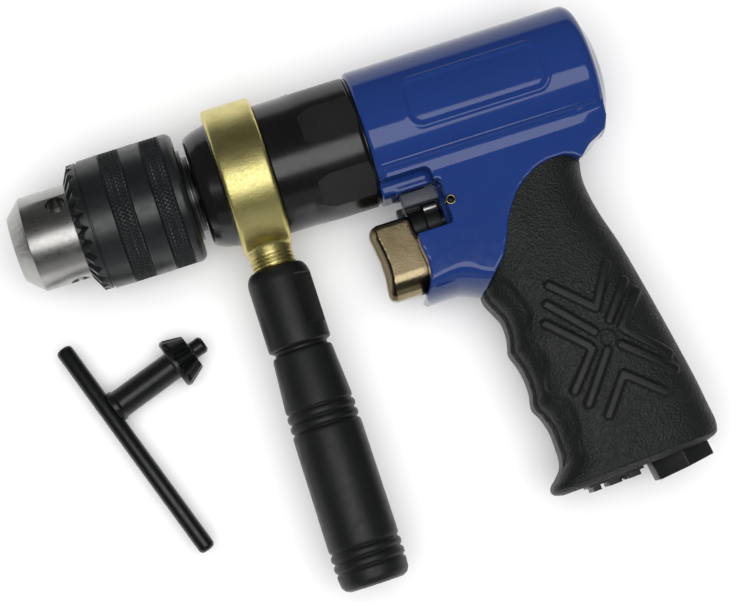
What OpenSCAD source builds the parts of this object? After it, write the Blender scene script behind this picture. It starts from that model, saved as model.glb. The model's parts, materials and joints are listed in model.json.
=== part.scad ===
// Air drill: pistol grip, keyed chuck, two planetary stages, vane motor and swivelling side handle.
// X runs along the spindle from the chuck mouth to the rear, Y is the tool's upright, Z is up as it lies.

/* [Chuck] */
// Radius of the chuck's nose
nose_r = 16; // [15.6:0.1:16.4]
// Largest radius of the chuck's sleeve
sleeve_r = 22; // [21.6:0.1:22.6]
// Number of key teeth on the sleeve
sleeve_teeth = 27; // [24:1:30]
// Radius of the jaws
jaw_r = 3.3; // [3.1:0.05:3.4]
// Slope of the jaws to the spindle axis, in degrees
jaw_slope = 14; // [13.5:0.25:14.5]
// Radius of the holes for the key's pilot
pilot_hole_r = 3.2; // [3.1:0.05:3.4]

/* [Gear case] */
// Rise from the gear case's body to the collar with the wrench flats
collar_rise = 1.1; // [0.9:0.1:1.2]
// Depth of each wrench flat below the collar
flat_depth = 0.9; // [0.7:0.1:1.1]

/* [Gears] */
// Module of every gear
gear_module = 0.7; // [0.68:0.01:0.7]
// Teeth on each sun
sun_teeth = 12; // [12:1:12]
// Teeth on each planet
planet_teeth = 15; // [15:1:15]
// Width of each planet
planet_w = 7.8; // [7:0.1:7.8]
// Side play between meshing teeth
backlash = 0.14; // [0.1:0.02:0.18]

/* [Motor] */
// Wall of the housing round the motor
housing_wall = 3.4; // [3.3:0.1:3.8]
// Thinnest wall of the cylinder that the vanes sweep
cylinder_wall = 2.4; // [2.2:0.1:2.6]
// Radius of the rotor
rotor_r = 14.2; // [14:0.1:14.3]
// Offset of the cylinder's bore from the rotor
bore_offset = 1.6; // [1.4:0.1:1.6]
// Number of vanes
vane_count = 5; // [4:1:6]

/* [Handle] */
// Half width of the neck under the housing
neck_half_w = 17.5; // [17:0.1:18]
// Half width of the rubber grip
grip_half_w = 17; // [16.5:0.1:17.5]
// Lean of the air passages in the handle, in degrees
passage_lean = 8.5; // [8:0.5:9]

/* [Trigger and reverse lever] */
// Travel of the trigger
trigger_travel = 6; // [4:0.5:6]
// Half width of the trigger
trigger_half_w = 8; // [7.8:0.1:8]

/* [Side handle] */
// Wall of the side handle's ring
ring_wall = 4.1; // [3.7:0.1:4.4]
// Largest radius of the side grip
grip_r = 11.9; // [11.5:0.1:12.2]

/* [Chuck key] */
// Diameter of the key's bar
key_bar_d = 5.8; // [5.4:0.1:6]
// Length of the key's bar
key_bar_l = 83.5; // [78:0.5:86]

/* [Hidden] */
$fn = 72;

// Running fit between a shaft and its bore
fit = 0.05;
// Room between pieces that only pass each other
room = 0.4;
// Overrun of a cut past the face it opens
over = 1;

// Radii of the round body, from the rotor outwards
cylinder_bore_r = rotor_r + bore_offset + 0.2;
motor_bore_r = cylinder_bore_r + bore_offset + cylinder_wall;
housing_r = motor_bore_r + housing_wall;
collar_r = housing_r - 0.2;
case_r = collar_r - collar_rise;
flat_r = collar_r - flat_depth;
ring_seat_r = case_r - 0.8;
ring_r = ring_seat_r + ring_wall;

// Places along the spindle
sleeve_front_x = 21.2;
sleeve_rear_x = 59.2;
chuck_rear_x = 60.2;
case_front_x = 62.3;
ring_front_x = 70.7;
ring_rear_x = 87.4;
flare_x = 97.5;
collar_x = 104.5;
collar_end_x = 115;
neck_in_x = 118.2;
housing_front_x = 119.5;
spigot_end_x = 127;
cylinder_end_x = 182;
plate_end_x = 190;
gasket_t = 1;
gasket_hole_r = 12;
bore_end_x = plate_end_x + gasket_t;
rear_wall = 3.5;
dome_x = bore_end_x + rear_wall;
dome_corner_r = 3.8;
dome_l = 8.1;
housing_rear_x = dome_x + dome_l;
// Points of the rear dome, as distance in from the round body and distance behind the dome's start
dome = [[5.2, 4.5], [8.9, 5.9], [13.4, 7.1], [18.4, 7.9]];
// Points of the gear case's nose, as distance in from the ring's seat and distance behind its front
case_nose = [[3.9, 0], [2.7, 0.8], [1.5, 3.5], [0.4, 8]];
case_mouth_r = 11.4;
flat_turn = 16;
flat_l = 23.5;
flat_w = 30;

// Length of the jaws' bores, and how far they start ahead of the mouth
jaw_bore_l = 75;
jaw_bore_back = 15;

// Spindle and its bearings
spindle_r = 6;
spindle_shoulder_r = 10.2;
spindle_land_r = 8;
shoulder_end_x = case_front_x + 1.6;
arbor_x = 42;
screw_l = 13.5;
bearing_r = 14;
bearing_w = 8;
front_bearing_x = 64.5;
rear_bearing_x = 82;
carrier_x = rear_bearing_x + bearing_w + 1;
carrier_w = 4;
carrier_r = 13.5;
pin_seat = 1;

// Gear train
ring_teeth = sun_teeth + 2 * planet_teeth;
gear_centre = gear_module * (sun_teeth + planet_teeth) / 2;
addendum = 0.8 * gear_module;
dedendum = 1.05 * gear_module;
pressure_angle = 25;
gear_case_bore_r = gear_module * ring_teeth / 2 + 2.3;
planet_gap = 0.3;
sun_reach = 0.8;
output_planet_x = carrier_x + carrier_w + planet_gap;
first_carrier_x = output_planet_x + planet_w + 3 * planet_gap;
first_carrier_w = 3;
first_pin_seat = 0.6;
first_planet_x = first_carrier_x + first_carrier_w + planet_gap;
pin_r = 2;
ring_gear_x = carrier_x + carrier_w - 0.5;
ring_gear_end_x = first_planet_x + planet_w + 1.4;
front_plate_x = 120;

// Rotor and its bearings
rotor_shaft_r = 4;
rotor_bearing_r = 8;
rotor_bearing_w = 5;
rotor_room = 0.3;
vane_w = 2;
vane_root_r = 0.56 * rotor_r;
vane_play = 0.05;
vane_gap = 0.4;
dowel_r = 0.42 * cylinder_wall;
dowel_y = motor_bore_r - cylinder_wall / 2 - 0.1;
dowel_l = 8;
shaft_hole_r = 5.5;
plate_lip = 1.5;

// Throttle and reverse valve, on two axes parallel to the spindle
stem_y = -45;
stem_r = 2.5;
throttle_bore_r = 6;
seat_hole_r = 3.8;
valve_r = 5.4;
coil_r = 3.9;
wire_r = 0.5;
coil_turns = 6;
plug_hex_r = 3;
plug_hex_l = 4;
throttle_front_x = 143;
seat_x = 149;
seat_w = 2;
valve_x = seat_x + seat_w + fit;
valve_w = 3;
plug_x = 174;
core_back_x = 181.5;
seal_w = 1.8;
seal_r = 3.6;
reverse_y = -33.5;
reverse_r = 4;
reverse_end_x = 150;
feed_x = 148;
feed_r = 2.5;
pin_place = [139.7, -30];
pin_outer_r = 1.8;
pin_bore_r = 1;
pin_in_z = 8;
pin_proud = 0.3;

// Top of the rubber grip, and the shelf of the neck that it meets in front
grip_top_y = -24;
grip_shelf_x = 138;
grip_shelf_y = -58.5;

// Trigger slot and reverse notch in the neck
trigger_outline = [
    [113.2, -29.4], [126.9, -29.4], [126.9, -53.4], [124.2, -55], [113.8, -55.1], [112.2, -53.4],
    [112, -50.5], [112.5, -46], [112.5, -41], [111.8, -36], [111.5, -32], [112, -30.2]
];
trigger_back_x = trigger_outline[1][0];
trigger_floor_y = -52.6;
slot_half_w = trigger_half_w + room;
slot_front_x = 120;
slot_bottom_y = -56;
slot_end_x = trigger_back_x + trigger_travel + 1.7;
seal_wall = 2.2;
seal_x = slot_end_x + seal_wall;
notch_x = 138.2;
notch_top_y = -22.2;
notch_bottom_y = -37.2;
trigger_hollow_half_w = trigger_half_w - 1.4;
trigger_wall_x = 117.5;
stem_seat = 3;
lever_hub_x = trigger_wall_x + trigger_travel + 2.1;
lever_hub_w = 5.4;
lever_hub_r = 5.8;
lever_post_half_w = 3;
lever_bar_y = -26.6;
lever_bar_h = 2;
tab_x = 124.2;
tab_l = 11.6;
tab_y = -28.2;
tab_h = 4.4;
tab_z = 12.8;
tab_proud = 0.3;
scallop_x = 120.5;
scallop_l = 15.5;
scallop_y = -24;
scallop_h = 6.5;
// Room beside each tab, in which its inner corner swings
scallop_room = 2.4;
scallop_z = tab_z - scallop_room;

// Handle passages
inlet_foot = [186.3, -131.5];
inlet_thread_r = 8;
inlet_tap_r = 5.55;
inlet_passage_r = 6;
inlet_thread_l = 15;
inlet_top = 86;
screen_w = 2;
screen_pitch = 3.2;
screen_hole_r = 1.1;
hex_r = 11.4;
hex_h = 7;
hex_drop = 4.3;
exhaust_foot = [168, -131];
exhaust_r = 5;
exhaust_top = 74;
felt_from = 8;
felt_to = 40;
side_port = [155, -57];
side_port_r = 2;
side_port_z = 9.75;
core_half_w = 11;
core_top_half_w = 13.5;
panel_x = 135;
panel_l = 46.5;
panel_y = -4.3;
panel_h = 15;
panel_depth = 0.5;

// Outline of the housing's neck in front of the rubber grip, and the line where the two meet
grip_line = [
    [140.9, -62], [146.6, -56.5], [150.5, -52.6], [153, -48], [155, -43], [157.7, -38.4],
    [161.1, -34.1], [165, -30.8], [170, -28.2], [175, -27], [179, -27], [182, -28], [184.6, -30]
];
neck_front = [
    [186.4, -28.4], [188.9, -26.2], [192, -24.8], [195.2, -23], [197, -19], [197.6, -14], [121, -14],
    [121, -20], [125.9, -23], [125.9, -42], [126.6, -47], [126, -51],
    [124.5, -55], [122.8, -57], [122.8, -58.2], [124.2, -59.2], [133.7, -59.2], [137.7, -60.6]
];
// Front and rear edges of the rubber grip, as height and place along the spindle
grip_front = [
    [-132.2, 146], [-131.4, 143.6], [-130, 142.7], [-128.3, 143.2], [-126.3, 145.4], [-124, 147.5],
    [-121, 148.5], [-117, 148.6], [-111, 148.3], [-106, 146.9], [-102.4, 145.2], [-97, 146],
    [-92, 145.9], [-87, 144.9], [-83, 143.6], [-80, 144.2], [-77, 144.8], [-72, 144.6], [-68, 142.8],
    [-64.5, 141.2], [-62, 140.9], [-56, 140.9], [-24, 140.9]
];
grip_back = [
    [-132.2, 196], [-131, 199.6], [-129, 200.7], [-126, 201], [-122, 200.5], [-108, 198.8], [-92, 196.1],
    [-75, 192.9], [-60, 189.8], [-48, 186.5], [-40, 185], [-35, 184.8], [-31, 185.4], [-24, 187]
];
// Rings of the grip's form, from its foot to its top
grip_rings = [
    -132.2, -131.4, -130, -128.3, -126.3, -124, -121, -117, -111, -106, -102.4, -97, -92, -87, -83, -80,
    -77, -72, -68, -64.5, -62, -56, -48, -40, -35, -31, -27, -24
];
foot_x = 146;
base_slope = 0.048;
function foot_y(x) = grip_rings[0] + (x - foot_x) * base_slope;
// Outline of the handle's core inside the rubber grip, and of its wider top
core_side = [
    [148, -50], [156, -36], [181, -26], [core_back_x, -45], [196.4, -125.5], [158, -127], [151, -62]
];
core_top_side = [
    [142, -56], [156, -36], [168, -24], [180, -24], [core_back_x, -45], [184.4, -61], [151, -61]
];
// Grip's section: sides of a ring, roundness of its corners, and where its foot draws in
grip_sides = 28;
grip_round = 0.62;
grip_taper = 1.5;
grip_taper_y = -60;
grip_taper_l = 72;
grip_foot_y = -130;
grip_foot_draw = 1.2;
grip_base_y = -100;
// Exhaust deflector: plate, and its lugs as place and length
deflector_x = 154;
deflector_gap = 0.05;
deflector_l = 19;
deflector_half_w = 8;
deflector_plate = 0.8;
deflector_drop = 2.4;
deflector_hole_r = 3;
deflector_lugs = [[1.2, 2.6], [6.8, 4.2], [13.4, 4.2]];

// Side handle
handle_x = (ring_front_x + ring_rear_x) / 2;
ring_bevel = 0.8;
stub_r = 7.4;
stub_root_r = 8.3;
stub_fillet_r = 7.6;
stub_from_y = 3.3 - ring_seat_r;
stub_fillet_l = 9;
stub_end_y = -ring_r - 6.2;
stud_r = 5;
stud_from_y = -ring_seat_r - 1.3;
side_grip_top_y = stub_end_y - room;
stud_end_y = side_grip_top_y - 30;
insert_r = 8;
insert_l = 32;
insert_gap = 0.2;
// Outline of the side grip, as distance below its top and radius, between its two bands of ribs
grip_collar = [
    [0, 8.6], [0.8, 9.5], [2.4, 10.3], [4, 10.6], [26.4, 10.6], [27, 9.8], [27.4, 8.9], [28.5, 8.9],
    [29, 10], [30, 10.2], [46.8, 11.4], [47.4, 11.2], [47.8, 10.8]
];
grip_body = [
    [54.7, grip_r - 1.1], [55.2, grip_r - 0.4], [56.2, grip_r - 0.2], [93.9, grip_r], [94.8, grip_r - 0.2],
    [95.3, grip_r - 0.7]
];
grip_end = [
    [102.2, grip_r - 0.7], [102.8, grip_r - 0.1], [106.3, grip_r - 0.4], [107.8, grip_r - 1.3],
    [108.6, grip_r - 2.9], [108.6, 0]
];
// Ribs: start and crown of each band, number in a band, pitch, and the outline of one rib
rib_bands = [[48.1, grip_r - 0.3], [95.6, grip_r + 0.1]];
rib_count = 2;
rib_pitch = 3.3;
rib = [[0, -0.8], [0.7, -0.1], [2.3, -0.1], [3, -0.8]];

// Chuck inside
mouth_r = 6.6;
mouth_end_x = 38.4;
nose_cone = 5.3;
nose_end_x = 30;
back_step = 0.6;
screw_head_r = 4.2;
screw_head_play = 0.1;
screw_hex_r = 2.2;
screw_hex_l = 2;
screw_r = 2.5;
jaw_line_r = 1.2;
jaw_line_x = -3;
jaw_open_x = 20;
jaw_l = 30;
jaw_fit = 0.06;
jaw_clear = 0.02;
nut_x = 22.7;
nut_w = 4.8;
nut_bore_r = nose_r - 3.55;
nut_play = 0.2;
nut_groove_r = nut_bore_r - 0.15;
chuck_back_r = nose_r - 0.6;
back_play = 0.1;
sleeve_cavity_r = sleeve_r - 3;
cavity_end_x = 55.5;
sleeve_corner_r = 2.6;
// Front of the sleeve, as distance in from its full radius and distance behind its front
sleeve_front = [[0.6, 2.4], [0.4, 5.2], [0.8, 5.4], [0.8, 5.8], [0.2, 6], [0, 12.8]];
sleeve_lip = 0.7;
tooth_in = 2.8;
tooth_back = 0.8;
tooth_lean = 63;
tooth_w = 2.6;
tooth_gap = [[-4, -0.65], [-4, 0.65], [4, 1], [4, -1]];
pilot_x = 17;
pilot_turn = 30;
pilot_floor = 10.4;

// Chuck key: place of the bar's crossing, turn about the vertical, height of its axis
floor_z = -ring_r;
key_place = [11.6, -58.9];
key_turn = 18.5;
key_gear_r = 8.8;
key_gear_front_r = 6.2;
key_saddle = 0.7;
key_collar_r = 5.5;
key_collar_w = 1.6;
key_bevel = 0.8;
key_gear_x = 26.5;
key_gear_w = 8;
key_teeth = 11;
key_tooth_h = 2;
key_tooth_gap = [[-0.55, 0], [0.55, 0], [1.5, 4], [-1.5, 4]];
key_cone = 19.8;
key_shank_r = 4.9;
key_pilot_r = 2.95;
key_end_x = 39.4;
key_short_side = 26.5;
key_z = floor_z + key_gear_r;

// Turns a shape that stands along Z so that it lies along X
module along_x() {
    rotate([0, 90, 0]) children();
}

// Turned solid about the spindle axis, from points of radius and place
module turned(points) {
    along_x() rotate_extrude($fn = 96) polygon(points);
}

// Plain round bar or hole along X
module bar_x(x, w, r) {
    translate([x, 0, 0]) along_x() cylinder(h = w, r = r);
}

// Ring along X
module ring_x(x, w, outer, inner) {
    difference() {
        bar_x(x, w, outer);
        bar_x(x - over, w + 2 * over, inner);
    }
}

// Leaning bar or hole in the handle, from a foot point upwards
module handle_bar(foot, from, to, r) {
    translate([foot[0], foot[1], 0]) rotate([0, 0, passage_lean]) translate([0, from, 0])
        rotate([-90, 0, 0]) cylinder(h = to - from, r = r);
}

// Involute of an angle, in degrees
function involute(a) = tan(a) * 180 / PI - a;

// Half the angle that a tooth spans at a radius
function tooth_half(teeth, r, side_play) =
    let (pitch_r = gear_module * teeth / 2, base_r = pitch_r * cos(pressure_angle))
    90 / teeth - side_play * 90 / (PI * pitch_r) + involute(pressure_angle)
        - involute(acos(min(1, base_r / r)));

// Outline of a gear with a tooth on the X axis
function gear_outline(teeth, tip, root, side_play, steps = 4) = [
    for (i = [0 : teeth - 1], side = [-1, 1], k = [0 : steps])
        let (
            j = side < 0 ? k : steps - k,
            r = root + (tip - root) * j / steps,
            a = i * 360 / teeth + side * tooth_half(teeth, r, side_play)
        )
        [r * cos(a), r * sin(a)]
];

// Spur gear blank without its bore, with its back at x
module spur(teeth, x, w) {
    pitch_r = gear_module * teeth / 2;
    translate([x, 0, 0]) along_x() linear_extrude(w)
        polygon(gear_outline(teeth, pitch_r + addendum, pitch_r - dedendum, backlash));
}

// Places its children at one of three stations round the spindle
module station(i, r) {
    along_x() rotate([0, 0, 120 * i]) translate([r, 0, 0]) rotate([0, 0, -120 * i]) rotate([0, -90, 0])
        children();
}

module planet(i, x) {
    station(i, gear_centre) difference() {
        spur(planet_teeth, x, planet_w);
        bar_x(x - over, planet_w + 2 * over, pin_r + fit);
    }
}

module planet_pins(x, w) {
    for (i = [0 : 2]) station(i, gear_centre) bar_x(x, w, pin_r);
}

module ball_bearing(x, w, outer, bore) {
    shield = 0.5;
    groove = (outer - bore) / 5;
    middle = (outer + bore) / 2;
    difference() {
        ring_x(x, w, outer, bore);
        ring_x(x - over, over + shield, middle + groove, middle - groove);
        ring_x(x + w - shield, over + shield, middle + groove, middle - groove);
    }
}

module gear_case() {
    color([0.06, 0.06, 0.06]) difference() {
        turned([
            [case_mouth_r, case_front_x], for (p = case_nose) [ring_seat_r - p[0], case_front_x + p[1]],
            [ring_seat_r, ring_front_x - 0.1], [ring_seat_r, ring_rear_x + 0.2],
            [case_r, ring_rear_x + 0.2], [case_r, flare_x], [collar_r, collar_x], [collar_r, collar_end_x],
            [flat_r, neck_in_x], [flat_r, housing_front_x], [motor_bore_r, housing_front_x],
            [motor_bore_r, spigot_end_x], [gear_case_bore_r, spigot_end_x],
            [gear_case_bore_r, carrier_x - 1], [bearing_r, carrier_x - 1], [bearing_r, front_bearing_x],
            [case_mouth_r, front_bearing_x]
        ]);
        for (k = [0 : 5]) rotate([90 - flat_turn + 60 * k, 0, 0])
            translate([housing_front_x - flat_l, flat_r, -flat_w / 2]) cube([flat_l, 5, flat_w]);
    }
}

module neck_outline() {
    polygon(concat(neck_front, grip_line));
}

module handle_core() {
    translate([0, 0, -core_half_w]) linear_extrude(2 * core_half_w) polygon(core_side);
    translate([0, 0, -core_top_half_w]) linear_extrude(2 * core_top_half_w) polygon(core_top_side);
}

module housing_body() {
    turned([
        [0, housing_front_x], [housing_r - 1, housing_front_x], [housing_r, housing_front_x + 1],
        [housing_r, dome_x],
        for (a = [80 : -20 : 20]) [housing_r + dome_corner_r * (sin(a) - 1), dome_x + dome_corner_r * cos(a)],
        for (p = dome) [housing_r - p[0], dome_x + p[1]],
        [0, housing_rear_x]
    ]);
}

// Holes that carry air up to the motor and down again
module air_ports() {
    translate([feed_x, 0, 0]) rotate([90, 0, 0]) cylinder(h = -stem_y, r = feed_r);
    for (s = [-1, 1]) translate([side_port[0], 0, s * side_port_z]) rotate([90, 0, 0])
        cylinder(h = -side_port[1], r = side_port_r);
}

module motor_housing() {
    color([0.12, 0.2, 0.5]) difference() {
        union() {
            housing_body();
            translate([0, 0, -neck_half_w]) linear_extrude(2 * neck_half_w) neck_outline();
            handle_core();
        }
        bar_x(housing_front_x - over, bore_end_x - housing_front_x + over, motor_bore_r);
        // Slot for the trigger, notch for the reverse lever and scallops for the fingers
        translate([slot_front_x, slot_bottom_y, -slot_half_w])
            cube([slot_end_x - slot_front_x, notch_top_y - slot_bottom_y, 2 * slot_half_w]);
        translate([slot_front_x, notch_bottom_y, -2 * neck_half_w])
            cube([notch_x - slot_front_x, notch_top_y - notch_bottom_y, 4 * neck_half_w]);
        for (s = [0, 1]) mirror([0, 0, s]) translate([scallop_x, scallop_y, scallop_z])
            cube([scallop_l, scallop_h, neck_half_w]);
        // Throttle bore, stem bore and seal groove
        translate([0, stem_y, 0]) {
            bar_x(slot_end_x - over, throttle_front_x - slot_end_x + 2 * over, stem_r + fit);
            bar_x(seal_x, seal_w, seal_r);
            bar_x(throttle_front_x, core_back_x + over * 20 - throttle_front_x, throttle_bore_r);
        }
        translate([0, reverse_y, 0])
            bar_x(slot_end_x - over, reverse_end_x - slot_end_x + over + room, reverse_r + fit);
        for (s = [0, 1]) mirror([0, 0, s]) translate([pin_place[0], pin_place[1], pin_in_z])
            cylinder(h = neck_half_w, r = pin_outer_r);
        difference() {
            air_ports();
            bar_x(housing_front_x, 60, motor_bore_r - over);
        }
        translate([side_port[0], side_port[1], -side_port_z]) cylinder(h = 2 * side_port_z, r = side_port_r);
        handle_bar(inlet_foot, -10, inlet_thread_l + 5, inlet_thread_r);
        handle_bar(inlet_foot, 0, inlet_top, inlet_passage_r);
        handle_bar(exhaust_foot, -10, exhaust_top, exhaust_r);
        // Shallow panel on each side of the round body
        for (s = [0, 1]) mirror([0, 0, s]) intersection() {
            ring_x(panel_x, panel_l, housing_r + over, housing_r - panel_depth);
            translate([panel_x - over, panel_y, 0]) cube([panel_l + 2 * over, panel_h, 40]);
        }
    }
}

// Half width of the grip at a height, and one ring of its form
function grip_width(y) = grip_half_w - grip_taper * pow(max(0, (grip_taper_y - y) / grip_taper_l), 2)
    - grip_foot_draw * max(0, grip_foot_y - y);
function rounded(c) = sign(c) * pow(abs(c), grip_round);
function foot_share(y) = max(0, (grip_base_y - y) / (grip_base_y - grip_rings[0]));
function grip_ring(y) =
    let (x0 = lookup(y, grip_front), x1 = lookup(y, grip_back))
    [
        for (k = [0 : grip_sides - 1])
            let (a = 360 * k / grip_sides, x = (x0 + x1) / 2 + (x1 - x0) / 2 * rounded(cos(a)))
            [x, y + (x - foot_x) * base_slope * foot_share(y), grip_width(y) * rounded(sin(a))]
    ];

module grip_form() {
    sides = grip_sides;
    rings = len(grip_rings);
    points = [for (y = grip_rings) each grip_ring(y)];
    faces = concat(
        [[for (k = [0 : sides - 1]) k]],
        [
            for (r = [0 : rings - 2], k = [0 : sides - 1], half = [0, 1])
                let (k2 = (k + 1) % sides, a = r * sides, b = (r + 1) * sides)
                half == 0 ? [a + k, b + k, b + k2] : [a + k, b + k2, a + k2]
        ],
        [[for (k = [sides - 1 : -1 : 0]) (rings - 1) * sides + k]]
    );
    polyhedron(points, faces);
}

module grip_sleeve() {
    color([0.13, 0.14, 0.14]) difference() {
        grip_form();
        translate([0, 0, -2 * neck_half_w]) linear_extrude(4 * neck_half_w) union() {
            neck_outline();
            translate([case_front_x, grip_top_y]) square([housing_rear_x - case_front_x, -grip_top_y]);
            translate([case_front_x, grip_shelf_y]) square([grip_shelf_x - case_front_x, -grip_shelf_y]);
        }
        handle_core();
        bar_x(housing_front_x, housing_rear_x - housing_front_x, housing_r);
        handle_bar(inlet_foot, -10, 12, inlet_thread_r + 3.6);
        handle_bar(exhaust_foot, -10, 12, exhaust_r);
    }
}

module ring_gear() {
    pitch_r = gear_module * ring_teeth / 2;
    color([0.5, 0.5, 0.52]) difference() {
        bar_x(ring_gear_x, ring_gear_end_x - ring_gear_x, gear_case_bore_r);
        translate([ring_gear_x - over, 0, 0]) along_x()
            linear_extrude(ring_gear_end_x - ring_gear_x + 2 * over)
                polygon(gear_outline(ring_teeth, pitch_r + dedendum, pitch_r - addendum, -backlash));
    }
}

module gear_spacer() {
    color([0.6, 0.6, 0.62]) ring_x(ring_gear_end_x, front_plate_x - ring_gear_end_x, gear_case_bore_r,
        gear_case_bore_r - 2.5);
}

module front_end_plate() {
    color([0.55, 0.56, 0.58]) difference() {
        bar_x(front_plate_x, spigot_end_x - front_plate_x, gear_case_bore_r);
        bar_x(front_plate_x - over, 20, shaft_hole_r);
        bar_x(spigot_end_x - 1 - rotor_bearing_w, rotor_bearing_w, rotor_bearing_r);
        bar_x(front_plate_x - over, over + 1, rotor_bearing_r);
    }
}

module motor_cylinder() {
    color([0.6, 0.6, 0.62]) difference() {
        bar_x(spigot_end_x, cylinder_end_x - spigot_end_x, motor_bore_r);
        translate([0, bore_offset, 0]) bar_x(spigot_end_x - over, cylinder_end_x - spigot_end_x + 2 * over,
            cylinder_bore_r);
        difference() {
            air_ports();
            bar_x(housing_front_x, 80, rotor_r - 4);
        }
        translate([0, dowel_y, 0]) bar_x(cylinder_end_x - dowel_l / 2, dowel_l, dowel_r);
    }
}

module rear_end_plate() {
    color([0.55, 0.56, 0.58]) difference() {
        bar_x(cylinder_end_x, plate_end_x - cylinder_end_x, motor_bore_r);
        bar_x(cylinder_end_x - over, 5, shaft_hole_r);
        bar_x(cylinder_end_x + plate_lip, 20, rotor_bearing_r);
        translate([0, dowel_y, 0]) bar_x(cylinder_end_x - over, dowel_l / 2 + over, dowel_r);
    }
}

module motor_gasket() {
    color([0.2, 0.2, 0.2]) ring_x(plate_end_x, gasket_t, motor_bore_r, gasket_hole_r);
}

module cylinder_dowel() {
    color([0.7, 0.7, 0.72]) translate([0, dowel_y, 0]) bar_x(cylinder_end_x - dowel_l / 2, dowel_l, dowel_r);
}

module spindle_front_bearing() {
    color([0.7, 0.7, 0.72]) ball_bearing(front_bearing_x, bearing_w, bearing_r, spindle_r + fit);
}

module spindle_rear_bearing() {
    color([0.7, 0.7, 0.72]) ball_bearing(rear_bearing_x, bearing_w, bearing_r, spindle_r + fit);
}

module rotor_front_bearing() {
    color([0.7, 0.7, 0.72]) ball_bearing(spigot_end_x - 1 - rotor_bearing_w, rotor_bearing_w,
        rotor_bearing_r, rotor_shaft_r + fit);
}

module rotor_rear_bearing() {
    color([0.7, 0.7, 0.72]) ball_bearing(cylinder_end_x + plate_lip, rotor_bearing_w, rotor_bearing_r,
        rotor_shaft_r + fit);
}

// Places a shape made along Y at the air inlet
module inlet_frame() {
    translate([inlet_foot[0], inlet_foot[1], 0]) rotate([0, 0, passage_lean]) children();
}

module inlet_bushing() {
    color([0.08, 0.08, 0.08]) difference() {
        union() {
            handle_bar(inlet_foot, 0.2, inlet_thread_l, inlet_thread_r);
            inlet_frame() translate([0, -hex_drop, 0]) rotate([-90, 30, 0])
                cylinder(h = hex_h, r = hex_r, $fn = 6);
        }
        handle_bar(inlet_foot, -10, 30, inlet_tap_r);
    }
}

module inlet_screen() {
    color([0.7, 0.7, 0.68]) difference() {
        handle_bar(inlet_foot, inlet_thread_l, inlet_thread_l + screen_w, inlet_thread_r);
        for (i = [-1 : 1], k = [-1 : 1]) inlet_frame()
            translate([i * screen_pitch, inlet_thread_l - over, k * screen_pitch]) rotate([-90, 0, 0])
                cylinder(h = screen_w + 2 * over, r = screen_hole_r);
    }
}

module exhaust_deflector() {
    color([0.08, 0.08, 0.08]) difference() {
        union() {
            handle_bar(exhaust_foot, -1.6, 6, exhaust_r);
            translate([deflector_x, foot_y(deflector_x) - deflector_gap, -deflector_half_w])
                rotate([0, 0, atan(base_slope)]) {
                    translate([0, -deflector_plate, 0])
                        cube([deflector_l, deflector_plate, 2 * deflector_half_w]);
                    for (lug = deflector_lugs) translate([lug[0], -deflector_drop, 1])
                        cube([lug[1], deflector_drop, 2 * deflector_half_w - 2]);
                }
        }
        handle_bar(exhaust_foot, -10, 20, deflector_hole_r);
    }
}

module silencer_felt() {
    color([0.5, 0.48, 0.42]) handle_bar(exhaust_foot, felt_from, felt_to, exhaust_r);
}

module roll_pins() {
    color([0.55, 0.54, 0.5]) for (s = [0, 1]) mirror([0, 0, s])
        translate([pin_place[0], pin_place[1], pin_in_z]) difference() {
            cylinder(h = neck_half_w + pin_proud - pin_in_z, r = pin_outer_r);
            translate([0, 0, -over]) cylinder(h = 20, r = pin_bore_r);
        }
}

module valve_seat() {
    color([0.75, 0.65, 0.35]) translate([0, stem_y, 0]) ring_x(seat_x, seat_w, throttle_bore_r, seat_hole_r);
}

module valve_plug() {
    color([0.4, 0.4, 0.42]) translate([0, stem_y, 0]) difference() {
        bar_x(plug_x, core_back_x - plug_x - 0.6, throttle_bore_r);
        translate([core_back_x - plug_hex_l, 0, 0]) along_x() cylinder(h = 10, r = plug_hex_r, $fn = 6);
    }
}

// Coil spring along X, as rings of points swept along a helix
module coil(x0, x1, turns) {
    steps = turns * 14;
    sides = 6;
    points = [
        for (i = [0 : steps], k = [0 : sides - 1])
            let (t = 360 * turns * i / steps, a = 360 * k / sides, r = coil_r + wire_r * cos(a))
            [x0 + wire_r + (x1 - x0 - 2 * wire_r) * i / steps + wire_r * sin(a), r * cos(t), r * sin(t)]
    ];
    faces = concat(
        [[for (k = [0 : sides - 1]) k]],
        [
            for (i = [0 : steps - 1], k = [0 : sides - 1], half = [0, 1])
                let (k2 = (k + 1) % sides, a = i * sides, b = a + sides)
                half == 0 ? [a + k, b + k, b + k2] : [a + k, b + k2, a + k2]
        ],
        [[for (k = [sides - 1 : -1 : 0]) steps * sides + k]]
    );
    polyhedron(points, faces);
}

module throttle_spring() {
    color([0.65, 0.65, 0.67]) translate([0, stem_y, 0])
        coil(valve_x + valve_w + fit, plug_x - fit, coil_turns);
}

module stem_seal() {
    color([0.1, 0.1, 0.1]) translate([0, stem_y, 0]) ring_x(seal_x, seal_w, seal_r, stem_r + fit);
}

module spindle() {
    color([0.5, 0.5, 0.52]) difference() {
        turned([
            [0, arbor_x], [spindle_r, arbor_x], [spindle_r, chuck_rear_x], [spindle_shoulder_r, chuck_rear_x],
            [spindle_shoulder_r, shoulder_end_x], [spindle_land_r, shoulder_end_x],
            [spindle_land_r, front_bearing_x - 0.2], [spindle_r, front_bearing_x - 0.2],
            [spindle_r, carrier_x - 0.6], [spindle_land_r, carrier_x - 0.6],
            [carrier_r, carrier_x], [carrier_r, carrier_x + carrier_w],
            [0, carrier_x + carrier_w]
        ]);
        bar_x(arbor_x - over, screw_l + over + 0.5, screw_r);
        planet_pins(carrier_x + pin_seat, carrier_w + over);
    }
}

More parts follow.
